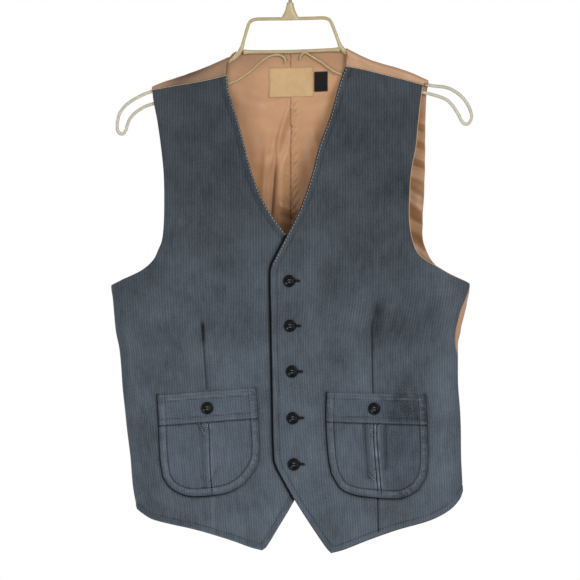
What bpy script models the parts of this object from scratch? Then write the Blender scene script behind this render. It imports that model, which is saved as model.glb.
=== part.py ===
"""Western vest hanging buttoned on a plastic hanger.

Metres, +Z up. The origin is the point where the hook's inside rests on a rail. The wearer's left is +X and
the fronts face -Y. Sizes below are millimetres: x to the wearer's left, drop downwards from the origin.
"""
import math

import bmesh
import bpy
import numpy as np
from mathutils import Matrix, Vector
from mathutils.geometry import delaunay_2d_cdt

MM = 0.001

# Driving dimensions of the cloth
FRONT_CLOTH = 2.0
BACK_CLOTH = 1.6
POCKET_CLOTH = 1.8
BAND_EXTRA = 0.7
PLEAT_DEPTH = 0.9
LABEL_CLOTH = 0.8
SEAM_GAP = 0.3
LAY_GAP = 0.35
LABEL_GAP = 0.5
UNDERLAP_DROP = 3.2
PANEL_GRID = 20.0
EDGE_STEP = 14.0
STEP_WIDTH = 1.0
SLIVER = 0.02
BAND_MARGIN = 2.5

# How the shell hangs over the hanger
CREST_RADIUS = 4.5
CREST_ROWS = 5
SHOULDER_RUN = 220.0
RING_POWER = 2.5
SIDE_SEAM_RIGHT_TURN = 100.0
SIDE_TURNS = (60, 74, 83, 90, 97, 106, 120)
SIDE_STEP = 20.0

# Buttons
BUTTON_RADIUS = 8.0
BUTTON_THICK = 2.6
BUTTON_GAP = 0.5
BUTTON_HOLE_RADIUS = 0.85
BUTTON_HOLE_RING = 2.2
BUTTON_SIDES = 20
HOLE_SIDES = 6

# Hanger
ROD_RADIUS = 2.25
ROD_SIDES = 8
WIRE_RADIUS = 2.3
WIRE_SIDES = 10
HOOK_INNER_RADIUS = 19.0
SOCKET_CLEARANCE = 0.3
PATH_TOLERANCE = 0.35

# Closed section of the body: drop, its right side x, its left side x, front depth, back depth
RINGS = (
    (300, -232, 234, 35, 28),
    (420, -232, 234, 35, 28),
    (442, -230, 231, 35, 28),
    (481, -226, 222, 34, 27),
    (507, -221, 218, 33, 26),
    (546, -218, 218, 33, 26),
    (598, -213, 221, 33, 26),
    (650, -207, 222, 33, 26),
    (689, -203, 224, 33, 26),
    (715, -199, 225, 33, 26),
    (780, -196, 226, 33, 26),
)

# Top line of the shoulders, and the line that it would follow across the neck: x, drop
CREST = (
    (-240, 190),
    (-179, 163.5),
    (-121, 143),
    (-90, 130),
    (-79, 124.5),
    (-73, 116),
    (-62, 109),
    (-48, 107),
    (0, 106),
    (50, 105),
    (62, 106),
    (68, 109),
    (73, 113.5),
    (83, 119),
    (94, 124.5),
    (107, 130),
    (150, 143),
    (181, 156),
    (240, 182),
)

# Shoulder seams, forward of the crest: x, drop
SHOULDER_SEAM_RIGHT = ((-179.5, 168), (-150, 162.5), (-120, 157.5), (-101, 153.5), (-82.5, 149))
SHOULDER_SEAM_LEFT = ((72.5, 137), (96, 141.5), (122, 148), (148, 154.5), (174, 161.5))

# Left front, the top one: x, drop
LEFT_NECK_EDGE = ((72.5, 137), (64, 160), (53, 200), (38, 241), (27, 283), (12, 325), (-4, 357), (-23, 394))
LEFT_CENTRE_EDGE = ((-23, 394), (-25.5, 405), (-24.5, 468), (-23, 548), (-20.5, 648), (-16.5, 661))
LEFT_POINT_EDGE = ((-16.5, 661), (6, 701.5), (31, 740.5), (48, 765), (53.5, 770.5))
LEFT_HEM = ((53.5, 770.5), (69, 766.5), (101, 754), (138, 741), (183, 728), (208, 715), (221, 701), (224.3, 691))
LEFT_ARMHOLE = (
    (233.6, 419.5),
    (229, 417),
    (208, 407.5),
    (191, 397.5),
    (173.5, 387),
    (164, 376),
    (158, 356),
    (155.5, 335),
    (156, 304),
    (158.5, 272.5),
    (164.5, 241),
    (168, 205),
    (172, 172),
    (174, 161.5),
)

# Right front, the under one: x, drop
RIGHT_NECK_EDGE = (
    (-82.5, 149),
    (-79.5, 170),
    (-67, 210),
    (-59, 241),
    (-50.5, 272.5),
    (-39, 304),
    (-21.5, 335),
    (-4, 358),
    (22, 396),
)
RIGHT_CENTRE_EDGE = ((22, 396), (24, 407), (24, 468), (24.5, 548), (26, 648), (25.5, 661))
RIGHT_POINT_EDGE = ((25.5, 661), (6, 701.5), (-17, 740.5), (-31, 763), (-36.5, 767))
RIGHT_HEM = ((-36.5, 767), (-50, 763.5), (-78, 753.5), (-122, 740.5), (-178, 727.5), (-193, 719), (-198.5, 714.5))
RIGHT_ARMHOLE = (
    (-231.6, 421.5),
    (-219.5, 415.5),
    (-192.5, 402.5),
    (-178, 389.5),
    (-171.5, 376.5),
    (-166.5, 363.5),
    (-164, 338),
    (-164, 286),
    (-167.5, 247),
    (-173, 208),
    (-178, 182),
    (-179.5, 168),
)

# Back armholes from underarm to shoulder: x, drop
BACK_LEFT_ARMHOLE = (
    (233.6, 419.5),
    (229, 417.5),
    (209, 408.5),
    (192, 397.5),
    (183, 387),
    (178, 376.5),
    (174, 363.5),
    (171.5, 338),
    (173, 305),
    (175, 262),
    (175.5, 210),
    (178, 172),
)
BACK_RIGHT_ARMHOLE = (
    (-231.6, 421.5),
    (-219.5, 416),
    (-190, 403),
    (-175, 390),
    (-168, 377),
    (-163, 364),
    (-160, 338),
    (-160, 286),
    (-165, 247),
    (-171, 208),
    (-177, 182),
)

# Back neck line: x, drop
BACK_NECK_RIGHT = ((-74, 120.5), (-60, 116), (-30, 115.8), (0, 115.6))
BACK_NECK_LEFT = ((0, 115.6), (30, 115.2), (60, 114), (68, 114))

# Left side seam, forward of the silhouette near the underarm: drop, turn in degrees from the front centre
SIDE_SEAM_LEFT = ((419.5, 88), (440, 79), (460, 74), (481, 74), (500, 78), (515, 85), (546, 94), (600, 99), (700, 100))

BACK_HEM_LEFT_DROP = 691.0
BACK_HEM_RIGHT_DROP = 714.0
BACK_HEM_RISE = 14.0

# Pockets: x and drop of the outline, clockwise from its top corner nearest the side
POCKET_RIGHT_SIDES = ((-172, 565.5), (-170, 604), (-168, 648), (-164.5, 671))
POCKET_RIGHT_FOOT = ((-164.5, 671), (-156, 684), (-143, 692.5), (-128, 696.5), (-100, 695), (-78, 690.5), (-60, 680))
POCKET_RIGHT_INNER = ((-60, 680), (-45, 659), (-40.5, 640), (-42, 600), (-45, 556))
POCKET_LEFT_SIDES = ((47.5, 562), (47, 600), (50, 645), (54, 667))
POCKET_LEFT_FOOT = ((54, 667), (66, 686), (84, 694.5), (105, 697.5), (131, 699.5), (148, 698), (166, 688))
POCKET_LEFT_INNER = ((166, 688), (176, 670), (178.5, 649), (177.5, 605), (175, 565))

# Lower edge of each pocket's band: x, drop of its two ends
BAND_EDGE_RIGHT = ((-171, 604.5), (-42.5, 594.5))
BAND_EDGE_LEFT = ((47, 599), (177.5, 603.5))

# Open stretch of each pleat: top x pair, bottom x pair, lowest drop
PLEAT_RIGHT = ((-118, -105.5), (-112, -101), 690)
PLEAT_LEFT = ((106.5, 113.5), (112, 117), 690)

BUTTONS = ((-1, 417), (0, 475), (2.5, 534.5), (3.5, 595), (5, 655))
POCKET_BUTTON_RIGHT = (-107, 582)
POCKET_BUTTON_LEFT = (109, 583)

# Labels on the lining: low x, high x, top drop, bottom drop
LABEL_MAIN = (-27, 28, 138.5, 176.5)
LABEL_SIZE = (29.5, 46.5, 143.5, 169.5)

# Largest folds of the fronts: x and drop of both ends, half width, height outwards
FRONT_FOLDS = (
    (28, 250, 29, 480, 14, 2.6),
    (55, 390, 50, 500, 13, -2.2),
    (82, 400, 80, 540, 15, 1.6),
    (116, 425, 108, 560, 13, -3.0),
    (150, 290, 140, 420, 20, -2.5),
    (198, 400, 212, 505, 12, 3.2),
    (203, 520, 205, 690, 14, 2.2),
    (178, 520, 186, 690, 12, -1.8),
    (112, 700, 112, 745, 13, -1.6),
    (-112, 460, -108, 560, 10, -2.0),
    (-98, 700, -98, 745, 12, -1.6),
    (-45, 330, -60, 440, 22, 2.0),
    (-120, 270, -60, 330, 24, -1.8),
    (-150, 420, -160, 560, 18, 2.0),
    (-190, 450, -192, 640, 12, -1.6),
    (-75, 620, -70, 740, 18, 1.4),
)

# Largest folds of the back
BACK_FOLDS = (
    (-16, 265, -24, 345, 9, -3.0),
    (-8, 215, -22, 255, 12, 2.0),
    (60, 260, 70, 480, 20, 3.0),
    (-70, 300, -80, 520, 22, 2.6),
    (120, 360, 110, 600, 18, -2.6),
    (-125, 380, -118, 620, 18, -2.6),
    (30, 480, 34, 680, 16, 2.4),
    (-35, 500, -38, 680, 16, 2.4),
    (170, 430, 165, 640, 15, 2.0),
    (-172, 430, -165, 640, 15, 2.0),
)

# Hanger centrelines: x, drop
NECK_TAIL_RIGHT = ((-6, 133), (-7, 126), (-15, 122))
ARM_LOWER_RIGHT = ((-27, 124), (-40, 133), (-53, 144.5), (-75, 158), (-120, 171), (-177, 185.5))
TIP_RIGHT = (
    (-188, 189),
    (-196, 193.5),
    (-203, 198.5),
    (-208.5, 205),
    (-212, 213),
    (-214.5, 221),
    (-219, 225.3),
    (-224, 222),
    (-225.5, 215),
    (-224.5, 207),
    (-221.5, 197),
    (-212, 186),
    (-195, 175.5),
)
ARM_UPPER_RIGHT = ((-181, 170), (-163, 163.5), (-121, 150), (-90, 136.5), (-80, 131), (-70, 123.5), (-63.5, 114))
LEG_RIGHT = ((-60.5, 103.6), (-56, 88), (-52.5, 79.5))
TOP_BAR = ((-46, 76), (-30, 75.3), (0, 75), (30, 74.3), (46, 74.2))
LEG_LEFT = ((52.5, 78), (58.5, 92), (63, 104))
ARM_UPPER_LEFT = ((66, 111.5), (74, 120), (83, 126.5), (107, 136.5), (150, 149.5), (181, 161.5))
TIP_LEFT = (
    (205, 165),
    (221.5, 174.5),
    (231, 186),
    (236, 198),
    (236, 206),
    (231, 212.5),
    (225, 210),
    (219.5, 200),
    (212, 188.5),
    (203, 180),
)
ARM_LOWER_LEFT = ((180, 172.5), (120, 160), (62, 145.5), (40, 131), (29, 124.5))
NECK_TAIL_LEFT = ((20, 119.5), (14.5, 122.5), (13, 129))
NECK_BAR = ((-60.5, 118.2), (0, 117.8), (65, 115))

# Moulded boss that holds the hook: drop, half width, half depth
BOSS = ((54, 4.7, 4.7), (62, 6.2, 4.6), (70, 9.5, 4.2), (76.5, 13.5, 3.0))
SOCKET_DEPTH_DROP = 68.0
WIRE_END_DROP = 67.6

# Colours, roughness, metallic
FINISHES = {
    "corduroy": ((0.072, 0.088, 0.105), 0.9, 0.0),
    "satin": ((0.42, 0.23, 0.13), 0.45, 0.0),
    "resin": ((0.012, 0.013, 0.018), 0.3, 0.0),
    "label_cream": ((0.62, 0.45, 0.28), 0.8, 0.0),
    "label_black": ((0.02, 0.02, 0.025), 0.8, 0.0),
    "plastic": ((0.62, 0.52, 0.33), 0.3, 0.0),
    "steel": ((0.45, 0.42, 0.36), 0.28, 1.0),
}


def clear_scene():
    """Remove every object that the file holds."""
    for item in list(bpy.data.objects):
        bpy.data.objects.remove(item, do_unlink=True)


def finish(name):
    """Principled material of a named finish."""
    known = bpy.data.materials.get(name)
    if known is not None:
        return known
    colour, roughness, metallic = FINISHES[name]
    material = bpy.data.materials.new(name)
    material.use_nodes = True
    shader = material.node_tree.nodes["Principled BSDF"]
    shader.inputs["Base Color"].default_value = (*colour, 1.0)
    shader.inputs["Roughness"].default_value = roughness
    shader.inputs["Metallic"].default_value = metallic
    return material


def add_object(name, vertices, faces, material, smooth=True):
    """Object from vertices in metres, with all faces turned outwards."""
    mesh = bpy.data.meshes.new(name)
    mesh.from_pydata([tuple(v) for v in vertices], [], faces)
    work = bmesh.new()
    work.from_mesh(mesh)
    bmesh.ops.recalc_face_normals(work, faces=work.faces)
    work.to_mesh(mesh)
    work.free()
    if smooth:
        mesh.shade_smooth()
        mesh.set_sharp_from_angle(angle=math.radians(40))
    mesh.materials.append(finish(material))
    item = bpy.data.objects.new(name, mesh)
    bpy.context.scene.collection.objects.link(item)
    return item


def curve_value(rows, at, column=1):
    """Smooth value of one column of a table, read at a value of its first column."""
    if at <= rows[0][0]:
        return rows[0][column]
    if at >= rows[-1][0]:
        return rows[-1][column]
    index = max(i for i, row in enumerate(rows) if row[0] <= at)
    here = rows[index]
    after = rows[index + 1]
    span = after[0] - here[0]
    rise = (after[column] - here[column]) / span
    slope_in = rise
    slope_out = rise
    if index > 0:
        before = rows[index - 1]
        earlier = (here[column] - before[column]) / (here[0] - before[0])
        slope_in = 0.0 if earlier * rise <= 0 else 2 * earlier * rise / (earlier + rise)
    if index + 2 < len(rows):
        beyond = rows[index + 2]
        later = (beyond[column] - after[column]) / (beyond[0] - after[0])
        slope_out = 0.0 if later * rise <= 0 else 2 * later * rise / (later + rise)
    t = (at - here[0]) / span
    return (
        here[column] * (1 + 2 * t) * (1 - t) ** 2
        + slope_in * span * t * (1 - t) ** 2
        + after[column] * t * t * (3 - 2 * t)
        - slope_out * span * t * t * (1 - t)
    )


def smooth_step(t):
    """Ease from 0 to 1."""
    t = min(max(t, 0.0), 1.0)
    return t * t * (3 - 2 * t)


class Section:
    """Girth of a flattened ring, measured along the cloth from the front centre."""

    def __init__(self, half_width, depth):
        turns = np.linspace(0.0, math.pi / 2, 4001)
        power = 2.0 / RING_POWER
        across = half_width * np.sin(turns) ** power
        deep = depth * np.cos(turns) ** power
        steps = np.hypot(np.diff(across), np.diff(deep))
        self.turns = turns
        self.lengths = np.concatenate(([0.0], np.cumsum(steps)))
        self.quarter = float(self.lengths[-1])
        self.half = 2 * self.quarter

    def girth(self, turn):
        """Distance along the cloth at a turn in radians, negative on the wearer's right."""
        size = abs(turn)
        if size <= math.pi / 2:
            run = float(np.interp(size, self.turns, self.lengths))
        else:
            run = self.half - float(np.interp(math.pi - size, self.turns, self.lengths))
        return math.copysign(run, turn)

    def turn(self, girth):
        """Turn in radians at a distance along the cloth."""
        whole = 2 * self.half
        girth = (girth + self.half) % whole - self.half
        size = abs(girth)
        if size <= self.quarter:
            angle = float(np.interp(size, self.lengths, self.turns))
        else:
            angle = math.pi - float(np.interp(self.half - size, self.lengths, self.turns))
        return math.copysign(angle, girth)


SECTION = Section(225.0, 30.0)


def ring(drop):
    """Centre x, half width, front depth and back depth of the body at a drop."""
    low = curve_value(RINGS, drop, 1)
    high = curve_value(RINGS, drop, 2)
    return (low + high) / 2, (high - low) / 2, curve_value(RINGS, drop, 3), curve_value(RINGS, drop, 4)


def crest(x):
    """Drop of the shoulder's top line."""
    return curve_value(CREST, x)


def fold_height(rows, x, drop):
    """Sum of the soft ridges and troughs at a place on the cloth."""
    total = 0.0
    for x0, drop0, x1, drop1, half_width, height in rows:
        along = Vector((x1 - x0, drop1 - drop0))
        length = along.length
        offset = Vector((x - x0, drop - drop0))
        t = offset.dot(along) / (length * length)
        if t < -0.3 or t > 1.3:
            continue
        side = (offset - along * t).length / half_width
        if side > 3:
            continue
        end = smooth_step((t + 0.3) / 0.5) * smooth_step((1.3 - t) / 0.5)
        total += height * end * math.exp(-side * side)
    return total


def underlap(x, drop):
    """How far the under front stands behind the top one near the centre."""
    return UNDERLAP_DROP * smooth_step((x + 62) / 30) * smooth_step((drop - 270) / 60)


def surface(girth, drop, sunk=False):
    """Middle of the cloth as millimetres x, y, z at a girth and a drop along the cloth."""
    turn = SECTION.turn(girth)
    power = 2.0 / RING_POWER
    centre, half_width, front, back = ring(max(drop, 420))
    x = centre + math.copysign(half_width * abs(math.sin(turn)) ** power, turn)
    is_front = abs(turn) <= math.pi / 2
    top = crest(x)
    bend = top + CREST_RADIUS
    if not is_front and drop < bend:
        past = bend - drop
        arc = math.pi * CREST_RADIUS
        if past < arc:
            angle = past / CREST_RADIUS
            return Vector((x, CREST_RADIUS * math.cos(angle), -(bend - CREST_RADIUS * math.sin(angle))))
        drop = bend + past - arc
        is_front = True
    if drop < bend:
        rise = (bend - drop) / CREST_RADIUS
        return Vector((x, -CREST_RADIUS * math.sqrt(max(1 - rise * rise, 0.0)), -drop))
    share = smooth_step((drop - bend) / SHOULDER_RUN)
    full = (front if is_front else back) * abs(math.cos(turn)) ** power
    rows = FRONT_FOLDS if is_front else BACK_FOLDS
    fade = smooth_step((drop - bend) / 60) * abs(math.cos(turn)) ** 0.6
    depth = CREST_RADIUS * (1 - share) + full * share + fold_height(rows, x, drop) * fade
    if sunk:
        depth -= underlap(x, drop)
    return Vector((x, -depth if is_front else depth, -drop))


def normal(girth, drop, sunk=False):
    """Outward direction of the cloth."""
    reach = 1.5
    across = surface(girth + reach, drop, sunk) - surface(girth - reach, drop, sunk)
    down = surface(girth, drop + reach, sunk) - surface(girth, drop - reach, sunk)
    return down.cross(across).normalized()


def front_place(x, drop):
    """Girth and drop of a place on the fronts."""
    centre, half_width, _, _ = ring(max(drop, 420))
    share = min(abs(x - centre) / half_width, 1.0)
    turn = math.asin(share ** (RING_POWER / 2))
    return Vector((SECTION.girth(math.copysign(turn, x - centre)), drop))


def back_place(x, drop):
    """Girth and drop of a place on the back."""
    flat = front_place(x, drop)
    return Vector((math.copysign(SECTION.half, flat.x) - flat.x, drop))


def flap_place(x, drop):
    """Place on the back's cloth that has come over the crest to the front."""
    flat = back_place(x, drop)
    bend = crest(x) + CREST_RADIUS
    return Vector((flat.x, 2 * bend - math.pi * CREST_RADIUS - drop))


def smooth_line(points, step=EDGE_STEP):
    """Points evenly spaced along a smooth curve through the given ones, both ends kept."""
    points = [Vector(p) for p in points]
    dense = []
    for i in range(len(points) - 1):
        start = points[i]
        stop = points[i + 1]
        before = points[i - 1] if i > 0 else start * 2 - stop
        after = points[i + 2] if i + 2 < len(points) else stop * 2 - start
        span = (stop - start).length
        lead = (stop - before) * (span / max((stop - before).length, 1e-6))
        trail = (after - start) * (span / max((after - start).length, 1e-6))
        for k in range(12):
            t = k / 12
            dense.append(
                start * ((1 + 2 * t) * (1 - t) ** 2)
                + lead * (t * (1 - t) ** 2)
                + stop * (t * t * (3 - 2 * t))
                - trail * (t * t * (1 - t))
            )
    dense.append(points[-1])
    lengths = [0.0]
    for first, second in zip(dense, dense[1:]):
        lengths.append(lengths[-1] + (second - first).length)
    count = max(1, round(lengths[-1] / step))
    result = []
    index = 0
    for k in range(count + 1):
        target = lengths[-1] * k / count
        while index + 2 < len(lengths) and lengths[index + 1] < target:
            index += 1
        span = lengths[index + 1] - lengths[index]
        t = 0.0 if span == 0 else (target - lengths[index]) / span
        result.append(dense[index].lerp(dense[index + 1], min(t, 1.0)))
    return result


def side_seam(left):
    """Places down a side seam from the underarm to the hem."""
    if left:
        drops = (419.5, BACK_HEM_LEFT_DROP)
    else:
        drops = (421.5, BACK_HEM_RIGHT_DROP)
    count = round((drops[1] - drops[0]) / EDGE_STEP)
    places = []
    for k in range(count + 1):
        drop = drops[0] + (drops[1] - drops[0]) * k / count
        if left:
            turn = math.radians(curve_value(SIDE_SEAM_LEFT, drop))
        else:
            turn = -math.radians(88 + (SIDE_SEAM_RIGHT_TURN - 88) * smooth_step((drop - drops[0]) / 80))
        places.append(Vector((SECTION.girth(turn), drop)))
    return places


def join_lines(*lines):
    """One closed outline from lines that meet end to end."""
    outline = []
    for line in lines:
        for place in line:
            if not outline or (place - outline[-1]).length > 0.8:
                outline.append(place)
    if (outline[0] - outline[-1]).length < 0.8:
        outline.pop()
    return outline


def inside(place, outline):
    """Whether a flat place lies inside an outline."""
    crossings = False
    x, y = place
    last = outline[-1]
    for point in outline:
        if (point.y > y) != (last.y > y):
            if x < (last.x - point.x) * (y - point.y) / (last.y - point.y) + point.x:
                crossings = not crossings
        last = point
    return crossings


def edge_distance(place, outline):
    """Shortest distance from a flat place to an outline."""
    best = 1e9
    last = outline[-1]
    for point in outline:
        along = point - last
        length = along.length_squared
        t = 0.0 if length == 0 else min(max((place - last).dot(along) / length, 0.0), 1.0)
        best = min(best, (place - last - along * t).length)
        last = point
    return best


def flat_mesh(outline, extra=(), creases=(), grid=PANEL_GRID):
    """Triangles that fill an outline and keep the extra closed outlines and open creases as edges."""
    places = list(outline)
    edges = [(i, (i + 1) % len(outline)) for i in range(len(outline))]
    for loop in extra:
        base = len(places)
        places.extend(loop)
        edges.extend((base + i, base + (i + 1) % len(loop)) for i in range(len(loop)))
    for line in creases:
        base = len(places)
        places.extend(line)
        edges.extend((base + i, base + i + 1) for i in range(len(line) - 1))
    low_x = min(p.x for p in outline)
    high_x = max(p.x for p in outline)
    low_y = min(p.y for p in outline)
    high_y = max(p.y for p in outline)
    row = 0
    y = low_y + grid / 2
    while y < high_y:
        x = low_x + grid * (0.5 if row % 2 else 0.0)
        while x < high_x:
            place = Vector((x, y))
            clear = inside(place, outline) and edge_distance(place, outline) > grid * 0.55
            if clear and all(edge_distance(place, line) > grid * 0.4 for line in (*extra, *creases)):
                places.append(place)
            x += grid
        y += grid * 0.87
        row += 1
    found = delaunay_2d_cdt(places, edges, [], 0, 1e-4)
    points = [Vector(p) for p in found[0]]
    kept = []
    for face in found[2]:
        middle = (points[face[0]] + points[face[1]] + points[face[2]]) / 3
        if inside(middle, outline) and edge_distance(middle, outline) > SLIVER:
            kept.append(tuple(face))
    return points, kept


def wall(name, points, faces, inner, outer, material, sunk=False):
    """Closed solid between two offsets from the cloth's middle, each a function of the flat place."""
    used = sorted({index for face in faces for index in face})
    slot = {index: number for number, index in enumerate(used)}
    count = len(used)
    vertices = []
    for reach in (outer, inner):
        for index in used:
            place = points[index]
            base = surface(place.x, place.y, sunk)
            vertices.append((base + normal(place.x, place.y, sunk) * reach(place)) * MM)
    solid_faces = []
    edge_use = {}
    for face in faces:
        a, b, c = (slot[index] for index in face)
        solid_faces.append((a, b, c))
        solid_faces.append((c + count, b + count, a + count))
        for edge in ((a, b), (b, c), (c, a)):
            edge_use[edge] = True
    for a, b in edge_use:
        if (b, a) not in edge_use:
            solid_faces.append((b, a, a + count, b + count))
    return add_object(name, vertices, solid_faces, material)


def constant(value):
    """Offset that is the same everywhere."""
    return lambda place: value


def front_outline(left):
    """Flat outline of a front panel."""
    if left:
        seam = SHOULDER_SEAM_LEFT
        lines = (LEFT_NECK_EDGE, LEFT_CENTRE_EDGE, LEFT_POINT_EDGE, LEFT_HEM)
        armhole = LEFT_ARMHOLE
        inward = -1
    else:
        seam = tuple(reversed(SHOULDER_SEAM_RIGHT))
        lines = (RIGHT_NECK_EDGE, RIGHT_CENTRE_EDGE, RIGHT_POINT_EDGE, RIGHT_HEM)
        armhole = RIGHT_ARMHOLE
        inward = 1
    placed = [[front_place(*p) for p in smooth_line(line)] for line in lines]
    side = [Vector((p.x + inward * SEAM_GAP / 2, p.y)) for p in reversed(side_seam(left))]
    arm = [front_place(*p) for p in smooth_line(armhole)]
    top = [front_place(*p) for p in reversed(smooth_line(seam))]
    return join_lines(*placed, side, arm, top)


def back_outline(left):
    """Flat outline of one half of the back, from its hem round by the shoulder."""
    side_sign = 1 if left else -1
    side = [Vector((p.x + side_sign * SEAM_GAP / 2, p.y)) for p in reversed(side_seam(left))]
    armhole = [back_place(*p) for p in smooth_line(BACK_LEFT_ARMHOLE if left else BACK_RIGHT_ARMHOLE)]
    tip = crest_bend(180.5 if left else -180.3)
    seam = SHOULDER_SEAM_LEFT if left else SHOULDER_SEAM_RIGHT
    seam = smooth_line(seam)
    if left:
        seam.reverse()
    shoulder = [flap_place(p.x, p.y - SEAM_GAP) for p in seam]
    corner = crest_bend(73.0 if left else -80.0)
    corner.reverse()
    neck_line = smooth_line(BACK_NECK_LEFT if left else BACK_NECK_RIGHT)
    if left:
        neck_line.reverse()
    neck = corner + [back_place(*p) for p in neck_line]
    centre = side_sign * (SECTION.half - SEAM_GAP / 2)
    neck[-1].x = centre
    hem_middle = (BACK_HEM_LEFT_DROP + BACK_HEM_RIGHT_DROP) / 2 - BACK_HEM_RISE
    centre_line = smooth_line(((centre, neck[-1].y), (centre, hem_middle)))
    hem_end = BACK_HEM_LEFT_DROP if left else BACK_HEM_RIGHT_DROP
    seam_foot = side[0]
    hem = []
    count = round(abs(centre - seam_foot.x) / EDGE_STEP)
    for k in range(count + 1):
        t = k / count
        drop = hem_middle + (hem_end - hem_middle) * t * t
        hem.append(Vector((centre + (seam_foot.x - centre) * t, drop)))
    return join_lines(side, armhole, tip, shoulder, neck, centre_line, hem)


def pocket_outline(left):
    """Flat outline of a patch pocket."""
    if left:
        lines = (POCKET_LEFT_SIDES, POCKET_LEFT_FOOT, POCKET_LEFT_INNER)
    else:
        lines = (POCKET_RIGHT_SIDES, POCKET_RIGHT_FOOT, POCKET_RIGHT_INNER)
    placed = [[front_place(*p) for p in smooth_line(line)] for line in lines]
    top = [front_place(*p) for p in smooth_line((lines[2][-1], lines[0][0]))]
    return join_lines(*placed, top)


def band_strip(left):
    """Closed outline of the step at the lower edge of a pocket's band."""
    ends = BAND_EDGE_LEFT if left else BAND_EDGE_RIGHT
    first = Vector(ends[0])
    last = Vector(ends[1])
    inset = (last - first).normalized() * BAND_MARGIN
    first = first + inset
    last = last - inset
    upper = [front_place(*p) for p in smooth_line((first, last))]
    lower = [Vector((p.x, p.y + STEP_WIDTH)) for p in reversed(upper)]
    return upper + lower


def pleat_strip(left):
    """Closed outline of the sunk stretch of a pocket's pleat."""
    top, bottom, low_drop = PLEAT_LEFT if left else PLEAT_RIGHT
    ends = BAND_EDGE_LEFT if left else BAND_EDGE_RIGHT
    slope = (ends[1][1] - ends[0][1]) / (ends[1][0] - ends[0][0])
    high = [ends[0][1] + slope * (x - ends[0][0]) + STEP_WIDTH + BAND_MARGIN for x in top]
    first = smooth_line(((top[0], high[0]), (bottom[0], low_drop)))
    second = smooth_line(((bottom[1], low_drop), (top[1], high[1])))
    return [front_place(*p) for p in first] + [front_place(*p) for p in second]


def grow(loop, reach):
    """Outline moved outwards from its own middle by a small reach each way."""
    middle = sum(loop, Vector((0, 0))) / len(loop)
    grown = []
    for place in loop:
        away = place - middle
        grown.append(place + Vector((math.copysign(reach, away.x), math.copysign(reach, away.y))))
    return grown


def pocket_outer(left, base):
    """Outer offset of a pocket, thicker on its band and thinner down its pleat."""
    ends = BAND_EDGE_LEFT if left else BAND_EDGE_RIGHT
    first = front_place(*ends[0])
    last = front_place(*ends[1])
    slope = (last.y - first.y) / (last.x - first.x)
    pleat = grow(pleat_strip(left), 0.05)

    def reach(place):
        band_edge = first.y + slope * (place.x - first.x)
        value = base
        if place.y < band_edge + STEP_WIDTH / 2:
            value += BAND_EXTRA
        elif inside(place, pleat):
            value -= PLEAT_DEPTH
        return value

    return reach


def side_creases(left, outline):
    """Lines of points down the rounded side, so that its bend is even."""
    sign = 1 if left else -1
    creases = []
    for turn in SIDE_TURNS:
        girth = SECTION.girth(math.radians(turn)) * sign
        line = smooth_line(((girth, 400), (girth, 740)), SIDE_STEP)
        creases.append([p for p in line if inside(p, outline) and edge_distance(p, outline) > SIDE_STEP * 0.22])
    return [line for line in creases if len(line) > 1]


def make_front(left):
    """Front panel with the pocket that lies on it."""
    name = "left" if left else "right"
    sunk = not left
    outline = front_outline(left)
    pocket = pocket_outline(left)
    pleat = pleat_strip(left)
    loops = (pocket, band_strip(left), pleat, grow(pleat, STEP_WIDTH))
    points, faces = flat_mesh(outline, loops, side_creases(left, outline))
    half = FRONT_CLOTH / 2
    wall("front_" + name, points, faces, constant(-half), constant(half), "corduroy", sunk)
    patch = []
    for face in faces:
        middle = (points[face[0]] + points[face[1]] + points[face[2]]) / 3
        if inside(middle, pocket):
            patch.append(face)
    low = half + LAY_GAP
    outer = pocket_outer(left, low + POCKET_CLOTH)
    wall("pocket_" + name, points, patch, constant(low), outer, "corduroy", sunk)


def crest_bend(x):
    """Places from the back over the crest to the front at one x."""
    places = []
    for row in range(CREST_ROWS + 1):
        place = back_place(x, 0)
        place.y = crest(x) + CREST_RADIUS - math.pi * CREST_RADIUS * row / CREST_ROWS
        places.append(place)
    return places


def crest_creases(left, outline):
    """Rows of points round the bend over the crest, between the armhole and the neck."""
    low_x, high_x = (73.0, 178.5) if left else (-178.0, -80.0)
    count = round((high_x - low_x) / EDGE_STEP)
    bends = [crest_bend(low_x + (high_x - low_x) * k / count) for k in range(count + 1)]
    creases = []
    for row in range(CREST_ROWS + 1):
        line = [bend[row] for bend in bends]
        creases.append([p for p in line if inside(p, outline) and edge_distance(p, outline) > 1.5])
    return creases


def make_back(left):
    """One half of the back with its lining, from the hem to the forward shoulder seam."""
    outline = back_outline(left)
    creases = crest_creases(left, outline) + side_creases(left, outline)
    points, faces = flat_mesh(outline, creases=creases)
    half = BACK_CLOTH / 2
    wall("back_left" if left else "back_right", points, faces, constant(-half), constant(half), "satin")


def make_label(name, size, material):
    """Cloth label lying on the lining."""
    low_x, high_x, top, bottom = size
    start = SECTION.half - high_x
    stop = SECTION.half - low_x
    columns = max(2, round((stop - start) / 9))
    rows = max(2, round((bottom - top) / 9))
    points = []
    for j in range(rows + 1):
        for i in range(columns + 1):
            points.append(Vector((start + (stop - start) * i / columns, top + (bottom - top) * j / rows)))
    faces = []
    for j in range(rows):
        for i in range(columns):
            a = j * (columns + 1) + i
            b = a + columns + 1
            faces.append((a, a + 1, b + 1))
            faces.append((a, b + 1, b))
    high = -(BACK_CLOTH / 2 + LABEL_GAP)
    wall(name, points, faces, constant(high - LABEL_CLOTH), constant(high), material)


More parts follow.
